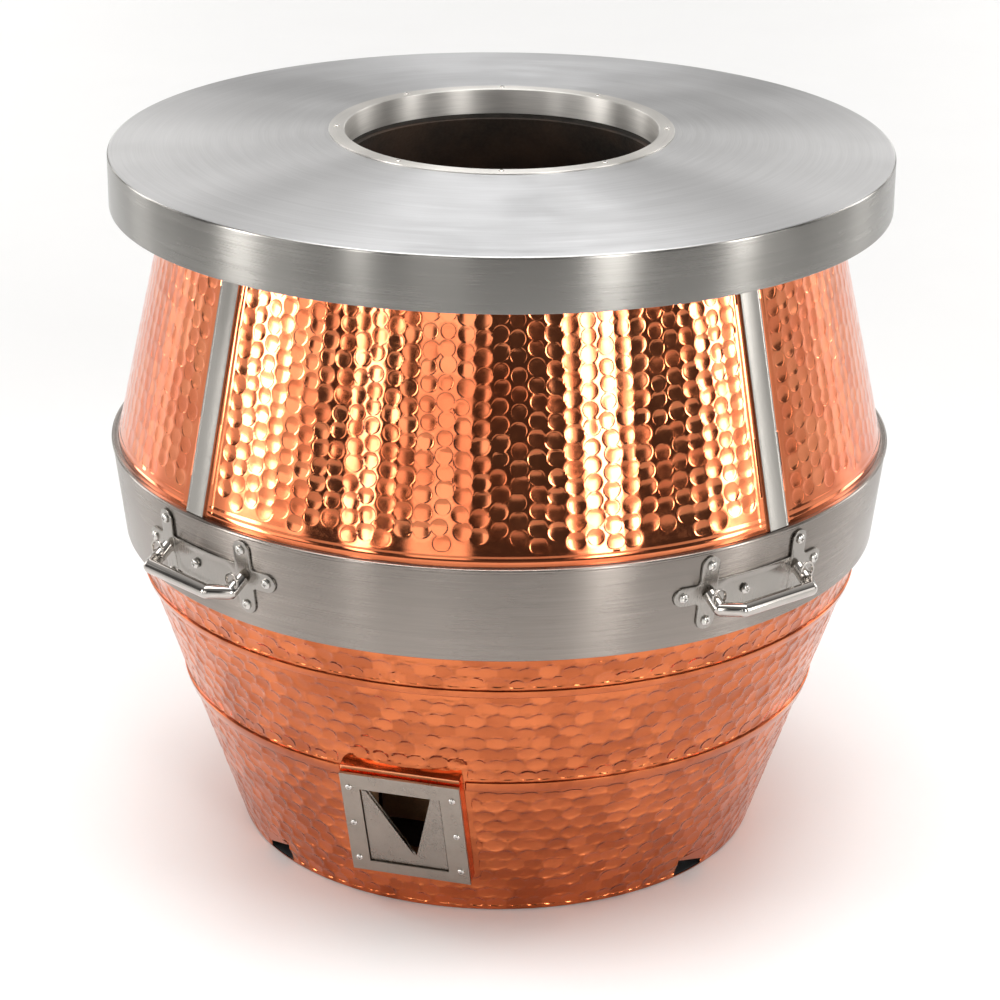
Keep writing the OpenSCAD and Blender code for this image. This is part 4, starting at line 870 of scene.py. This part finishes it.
def belly_band():
    """The band with its rolled lip and the ledge that closes it against the upper cone."""
    lip = 2.4
    inner_top = band_r(SHOULDER_Z - LEDGE_T) - STEEL_T
    outline = [(BAND_LOW_R - STEEL_T, BAND_Z), (BAND_LOW_R - 0.5, BAND_Z), (BAND_LOW_R, BAND_Z + 0.5)]
    outline += [(BAND_TOP_R - lip / 2 - 0.2, SHOULDER_Z - 2.6 * lip)]
    for a in range(-70, 91, 10):
        turn = math.radians(a)
        outline.append((BAND_TOP_R - lip + lip * math.cos(turn), SHOULDER_Z - lip + lip * math.sin(turn)))
    outline += [(BAND_TOP_R - 2 * lip, SHOULDER_Z - 0.5), (upper_r(SHOULDER_Z) + SEAT_GAP, SHOULDER_Z - 0.5),
                (upper_r(SHOULDER_Z - LEDGE_T) + SEAT_GAP, SHOULDER_Z - LEDGE_T),
                (inner_top, SHOULDER_Z - LEDGE_T)]
    # The band's steel is darkened: painted shade
    drum_piece("belly_band", "_turned", [lathe(outline, 360)], ("band",), 35.0)


def cover_strips():
    """Long cover strips with a raised line along each side."""
    face, line, half = 2.75, 3.3, STRIP_HALF
    edge = [(-half, SEAT_GAP), (-half, line - 0.5), (-half + 0.5, line), (-half + 2.2, line),
            (-half + 3.0, face)]
    crown = (-7.5, -4, 0, 4, 7.5)
    outline = edge + [(x, face + 0.25 * math.cos(math.pi * x / 2 / (half - 3))) for x in crown]
    outline += [(-x, n) for x, n in reversed(edge)]
    parts = []
    steps = 6
    for azimuth in STRIPS:
        points = []
        for i in range(steps + 1):
            z = SHOULDER_Z + (NECK_Z - SEAT_GAP - SHOULDER_Z) * i / steps
            for x, n in outline:
                r = upper_r(z) + n
                points.append((x, -math.sqrt(r * r - x * x), z))
        size = len(outline)
        faces = [tuple(range(size)), tuple(steps * size + k for k in range(size - 1, -1, -1))]
        faces += [(a, d, c, b) for a, b, c, d in walls(steps + 1, size)]
        parts.append((at_azimuth(points, azimuth), faces))
    drum_piece("cover_strips", "_folded", parts, ("strip",), 25.0)


def clay_pot():
    """The pot, with the slight waves of a wall built up by hand."""
    foot_z, top_z, belly_z = 219.0, 807.6, 469.0
    foot_r, belly_r, neck_r, wall = 246.0, 322.0, 214.0, 38.0

    def radius(z):
        if z < belly_z:
            return foot_r + (belly_r - foot_r) * math.cos(math.pi / 2 * (belly_z - z) / (belly_z - foot_z))
        return neck_r + (belly_r - neck_r) * math.cos(math.pi / 2 * (z - belly_z) / (top_z - belly_z))

    heights = [foot_z + (top_z - foot_z) * i / 60 for i in range(61)]
    outline = [(radius(z), z) for z in heights]
    outline += [(radius(z) - wall, z) for z in reversed(heights)]

    def wobble(turns, z):
        wave = np.sin(3 * turns + z / 40) + 0.7 * np.sin(7 * turns - z / 23)
        wave = wave + 0.5 * np.sin(z / 6.5 + 2 * turns)
        return -0.7 * np.clip(1 + wave / 2.2, 0, 2) * 0.5

    drum_piece("clay_pot", "_thrown", [lathe(outline, 144, wobble)], ("clay",), 60.0)


# Handles, drawn at the front in (x, reach from the drum's face, height from the legs)

HANDLE_Z = 434.0
LEG_FACE = 449.8
LEG_X = 64.0
BAR_R = 8.0
BEND_R = 16.0
LEG_BEND_R = 13.0
# Keeps the cuts through a plate off its points
OFF_POINTS = 0.013


def bend_path(points, radii, steps=9):
    """A path with its corners rounded to true arcs."""
    points = [Vector(p) for p in points]
    path = [points[0]]
    for i in range(1, len(points) - 1):
        before = (points[i - 1] - points[i]).normalized()
        after = (points[i + 1] - points[i]).normalized()
        half = before.angle(after) / 2
        reach = radii[i - 1] / math.tan(half)
        centre = points[i] + (before + after).normalized() * (radii[i - 1] / math.sin(half))
        start = points[i] + before * reach - centre
        end = points[i] + after * reach - centre
        for step in range(steps + 1):
            path.append(centre + start.slerp(end, step / steps))
    path.append(points[-1])
    return path


def handle_bar(node, azimuth):
    leg = [(1.5, 0), (22, 0), (52, -18)]
    corners = [(-LEG_X, reach, z) for reach, z in leg] + [(LEG_X, reach, z) for reach, z in reversed(leg)]
    places = [(x, -LEG_FACE - reach, HANDLE_Z + z) for x, reach, z in corners]
    path = bend_path(places, (LEG_BEND_R, BEND_R, BEND_R, LEG_BEND_R))
    points, faces = tube(path, BAR_R, 28)
    drum_piece(node, "_bar", [(at_azimuth(points, azimuth), faces)], ("polished",), 40.0)


def ferrules():
    """Two rings on each leg, with a groove between them."""
    outline = rounded([(BAR_R + 0.02, 15.0, 0.2), (10.0, 15.0, 0.6), (10.2, 16.2, 0.4), (9.2, 16.5, 0.2),
                       (10.2, 16.8, 0.4), (10.0, 18.0, 0.6), (BAR_R + 0.02, 18.0, 0.2)], 0.3, 4)
    ring_points, ring_faces = lathe(outline, 48)
    parts = []
    for azimuth in HANDLES.values():
        for side in (-LEG_X, LEG_X):
            placed = [(side + x, -LEG_FACE - n, HANDLE_Z + y) for x, y, n in ring_points]
            parts.append((at_azimuth(placed, azimuth), ring_faces))
    drum_piece("handle_ferrules", "_turned", parts, ("polished",), 50.0)


def arc(centre, radius, start, end, steps=10):
    turns = [math.radians(start + (end - start) * i / steps) for i in range(steps + 1)]
    return [(centre[0] + radius * math.cos(a), centre[1] + radius * math.sin(a)) for a in turns]


def lobed_outline(side):
    """Outline of the upright plate under a leg, with an ear towards the outside."""
    r, rise, ear = 11.0, 33.0, 31.0
    outline = arc((0, rise), r, 0, 180) + arc((0, -rise), r, 180, 360)
    outline += arc((r + 5, -r - 5), 5, 180, 90, 4) + arc((ear, 0), r, -90, 90)
    outline += arc((r + 5, r + 5), 5, 270, 180, 4)
    return [(LEG_X * side + side * x, y) for x, y in outline]


def flat_plate(outline, thick, edge, azimuth, step, sink=None):
    """A plate on the belly band: an outline with rounded edges, cut finely enough to follow the band."""
    outline = np.array(outline)
    if np.sum(outline[:, 0] * np.roll(outline[:, 1], -1) - np.roll(outline[:, 0], -1) * outline[:, 1]) < 0:
        outline = outline[::-1]
    along = np.roll(outline, -1, axis=0) - np.roll(outline, 1, axis=0)
    inward = np.stack([-along[:, 1], along[:, 0]], axis=1)
    inward = inward / np.linalg.norm(inward, axis=1)[:, None]
    rings = [(0.0, 0.0), (0.0, thick - edge), (edge * 0.3, thick - edge * 0.3), (edge, thick)]
    bm = bmesh.new()
    levels = []
    for inset, n in rings:
        levels.append([bm.verts.new((p[0], p[1], n)) for p in outline + inward * inset])
    size = len(outline)
    for a, b in zip(levels, levels[1:]):
        for i in range(size):
            up = (i + 1) % size
            bm.faces.new((a[i], a[up], b[up], b[i]))
    bm.faces.new(levels[-1])
    bm.faces.new(list(reversed(levels[0])))
    low, high = outline.min(axis=0), outline.max(axis=0)
    for axis in (0, 1):
        normal = (1, 0, 0) if axis == 0 else (0, 1, 0)
        for cut in np.arange(low[axis] + step, high[axis], step):
            spot = [0.0, 0.0, 0.0]
            spot[axis] = float(cut) + OFF_POINTS
            bmesh.ops.bisect_plane(bm, geom=bm.verts[:] + bm.edges[:] + bm.faces[:], dist=1e-5,
                                   plane_co=spot, plane_no=normal)
    for vert in bm.verts:
        x, up, n = vert.co
        if sink and n > thick / 2:
            n -= sink(x, up)
        z = HANDLE_Z + up
        r = band_r(z) + SEAT_GAP + n
        vert.co = (x, -math.sqrt(r * r - x * x), z)
    bm.verts.index_update()
    points = at_azimuth([v.co for v in bm.verts], azimuth)
    faces = [tuple(v.index for v in face.verts) for face in bm.faces]
    bm.free()
    return points, faces


def dish(x, up):
    """Depth of the long dish in the bridge between the legs."""
    reach, low_up, r = 34.0, -6.5, 18.0
    d = math.hypot(max(0.0, abs(x) - reach), up - low_up)
    t = min(1.0, max(0.0, (r - d) / 3.5))
    return 1.1 * t * t * (3 - 2 * t)


def handle_plates():
    bridge = rounded([(-60, -27), (60, -27), (60, 14), (-60, 14)], 3.0, 4)
    parts = []
    for azimuth in HANDLES.values():
        parts.append(flat_plate(bridge, 1.9, 0.5, azimuth, 2.5, dish))
        for side in (-1, 1):
            parts.append(flat_plate(lobed_outline(side), 2.5, 0.7, azimuth, 5.0))
    drum_piece("handle_plates", "_pressed", parts, ("satin",), 30.0)


# CAD nodes whose form is kept

# Those that get soft edges: width, material, and segments if not two
SOFT_EDGES = (
    ("door_box", 0.7, "hood"),
    ("door_frame", 0.5, "frame"),
    ("draught_door", 0.35, "leaf"),
    ("draught_shutter", 0.3, "leaf"),
    ("door_frame_screws", 0.3, "screw"),
    ("handle_screws", 0.4, "screw"),
    ("collar_screws", 0.25, "screw"),
    ("control_screws", 0.3, "screw"),
    ("control_box", 0.5, "galvanised"),
    ("control_plate", 0.5, "satin"),
    ("gas_knob", 0.8, "black", 3),
    ("igniter_body", 0.6, "black"),
    ("igniter_button", 0.9, "red", 3),
    ("gas_inlet", 0.4, "brass"),
)


def plain_finishes():
    """Materials of the nodes that are shown as the CAD gives them."""
    finish = {
        "structure": ("base_ring", "lower_uprights", "upper_uprights", "belly_ring", "neck_ring", "top_hoop"),
        "galvanised": ("floor_pan", "top_soffit", "venturi_tube", "air_shutter"),
        "heat": ("pot_deck", "pot_legs", "flame_deflector", "deflector_studs", "door_duct", "duct_baffle"),
        "wool": ("insulation_fill",),
        "rope": ("mouth_seal",),
        "screw": ("door_hinge_pin", "shutter_nuts"),
        "brass": ("gas_tap_body", "tap_plug", "injector", "pilot_burner"),
        "pipe": ("gas_pipe", "pilot_pipe"),
        "iron": ("burner_head", "burner_stand"),
    }
    for kind, nodes in finish.items():
        for node in nodes:
            slots = frame["nodes"][node].data.materials
            slots.clear()
            slots.append(MATERIALS[kind])


# Studio, its lengths in metres

# Camera fitted to the photograph
CAMERA_AT = (0.0014, -3.3921, 1.7241)
CAMERA_DOWN = 21.56
CAMERA_ROLL = 0.47
LENS_MM = 109.375
FLOOR_REACH = 60.0
# Radiance of the sky round the lights, behind the part and overhead
SKY_DIM = 0.06
SKY_BACK = 0.35
SKY_TOP = 0.30
# Tall soft lights round the part: azimuth, half width, radiance, sine of the height where they end
SOFT_LIGHTS = (
    (-78.0, 5.0, 12.0, 0.42), (-70.0, 13.0, 1.5, 0.42), (-40.0, 2.6, 7.0, 0.42), (-17.0, 8.5, 1.5, 0.42),
    (31.0, 4.2, 11.0, 0.42), (31.0, 8.5, 1.5, 0.42), (71.0, 3.5, 12.0, 0.42), (79.0, 10.0, 1.4, 0.42),
    (124.0, 6.0, 5.0, 0.5), (-124.0, 6.0, 5.0, 0.5), (108.0, 6.0, 1.0, 0.5), (-108.0, 5.0, 1.0, 0.5),
    (166.0, 5.0, 1.4, 0.85), (-167.0, 5.0, 1.4, 0.85), (-146.0, 3.0, 1.5, 0.6), (146.0, 3.0, 1.5, 0.6),
)
# Soft lamps: name, place, where it points, size, watts, spread
LAMPS = (
    ("overhead", (0.0, 2.9, 2.7), (0.0, 2.9, 0.0), (6.0, 7.5), 52.0, 80.0),
    ("key", (0.0, -0.45, 3.1), (0.0, -0.45, 0.0), (2.2, 1.7), 7.5, 62.0),
    ("key_left", (-1.4, -0.5, 3.0), (0.0, -0.4, 0.0), (1.2, 1.2), 2.4, 62.0),
    ("key_right", (1.4, -0.5, 3.0), (0.0, -0.4, 0.0), (1.2, 1.2), 2.0, 62.0),
)


def studio_light():
    """Sky whose lower part holds tall soft lights on a dim surround, and soft lamps that point down."""
    world = bpy.data.worlds.new("studio")
    bpy.context.scene.world = world
    world.use_nodes = True
    tree = world.node_tree
    tree.nodes.clear()
    direction = add(tree, "TexCoord").outputs["Generated"]
    x, y, z = add(tree, "SeparateXYZ", {0: direction}).outputs
    flat = calc(tree, "MAXIMUM", from_axis(tree, x, y), 0.0001)
    lights = None
    for azimuth, half, strength, top in SOFT_LIGHTS:
        a = math.radians(azimuth)
        ahead = plus(tree, times(tree, x, math.sin(a)), times(tree, y, -math.cos(a)))
        rim, core = (math.cos(math.radians(angle)) for angle in (half + 2.0, half - 2.0))
        beam = times(tree, spread(tree, calc(tree, "DIVIDE", ahead, flat), rim, core, 0.0, strength),
                     spread(tree, z, top - 0.06, top + 0.06, 1.0, 0.0))
        lights = beam if lights is None else plus(tree, lights, beam)
    above_floor = times(tree, lights, spread(tree, z, -0.10, -0.02, 0.0, 1.0))
    glow = times(tree, spread(tree, y, -0.1, 0.8, 0.0, SKY_BACK), spread(tree, z, 0.75, 0.9, 1.0, 0.0))
    overhead = plus(tree, spread(tree, z, 0.4, 0.8, SKY_DIM, SKY_TOP), glow)
    total = plus(tree, above_floor, overhead)
    shine = add(tree, "Background", {"Color": (1.0, 0.985, 0.965, 1.0), "Strength": total})
    feed(tree, add(tree, "OutputWorld"), "Surface", shine.outputs[0])
    for name, place_at, target, size, watts, angle in LAMPS:
        light = bpy.data.lights.new(name, "AREA")
        light.shape = "RECTANGLE"
        light.size, light.size_y = size
        light.energy = watts
        light.spread = math.radians(angle)
        lamp = bpy.data.objects.new(name, light)
        lamp.location = place_at
        lamp.rotation_euler = (Vector(target) - Vector(place_at)).to_track_quat("-Z", "Y").to_euler()
        lamp.visible_camera = False
        bpy.context.scene.collection.objects.link(lamp)


def studio_floor():
    mesh = bpy.data.meshes.new("floor")
    steps = 96
    turns = [2 * math.pi * i / steps for i in range(steps)]
    points = [(FLOOR_REACH * math.sin(a), FLOOR_REACH * math.cos(a), 0) for a in turns]
    mesh.from_pydata(points, [], [tuple(reversed(range(steps)))])
    material, tree, shader = surface("pale_floor", {"Roughness": 0.42, "Specular IOR Level": 0.3})
    haze = noise(tree, object_place(tree), 3.0, 3.0)
    feed(tree, shader, "Base Color", blend(tree, haze, (0.90, 0.90, 0.90, 1), (0.93, 0.93, 0.93, 1)))
    mesh.materials.append(material)
    floor = bpy.data.objects.new("floor", mesh)
    bpy.context.scene.collection.objects.link(floor)


def photo_camera():
    data = bpy.data.cameras.new("camera")
    data.sensor_width = 36.0
    data.lens = LENS_MM
    camera = bpy.data.objects.new("camera", data)
    bpy.context.scene.collection.objects.link(camera)
    pitch, roll = math.radians(90 - CAMERA_DOWN), math.radians(CAMERA_ROLL)
    turn = Matrix.Rotation(pitch, 4, "X") @ Matrix.Rotation(roll, 4, "Z")
    camera.matrix_world = Matrix.Translation(CAMERA_AT) @ turn
    bpy.context.scene.camera = camera


photo_camera()
studio_light()
studio_floor()
bpy.context.scene.view_settings.view_transform = "Standard"

top_plate()
mouth_collar()
belly_band()
cover_strips()
clay_pot()
for panel, (panel_node, strip) in enumerate(PANELS):
    upper_panel(panel_node, strip, 101 + panel)
bottom_course()
ribbed_course("course_middle", low=184.0, rib_top=197.0, high=326.7, seed=12, gap=True)
ribbed_course("course_top", low=320.0, rib_top=330.0, high=383.0, seed=13, gap=False)
for bar, bar_azimuth in HANDLES.items():
    handle_bar(bar, bar_azimuth)
ferrules()
handle_plates()
for soft_edge in SOFT_EDGES:
    softened(*soft_edge)
plain_finishes()
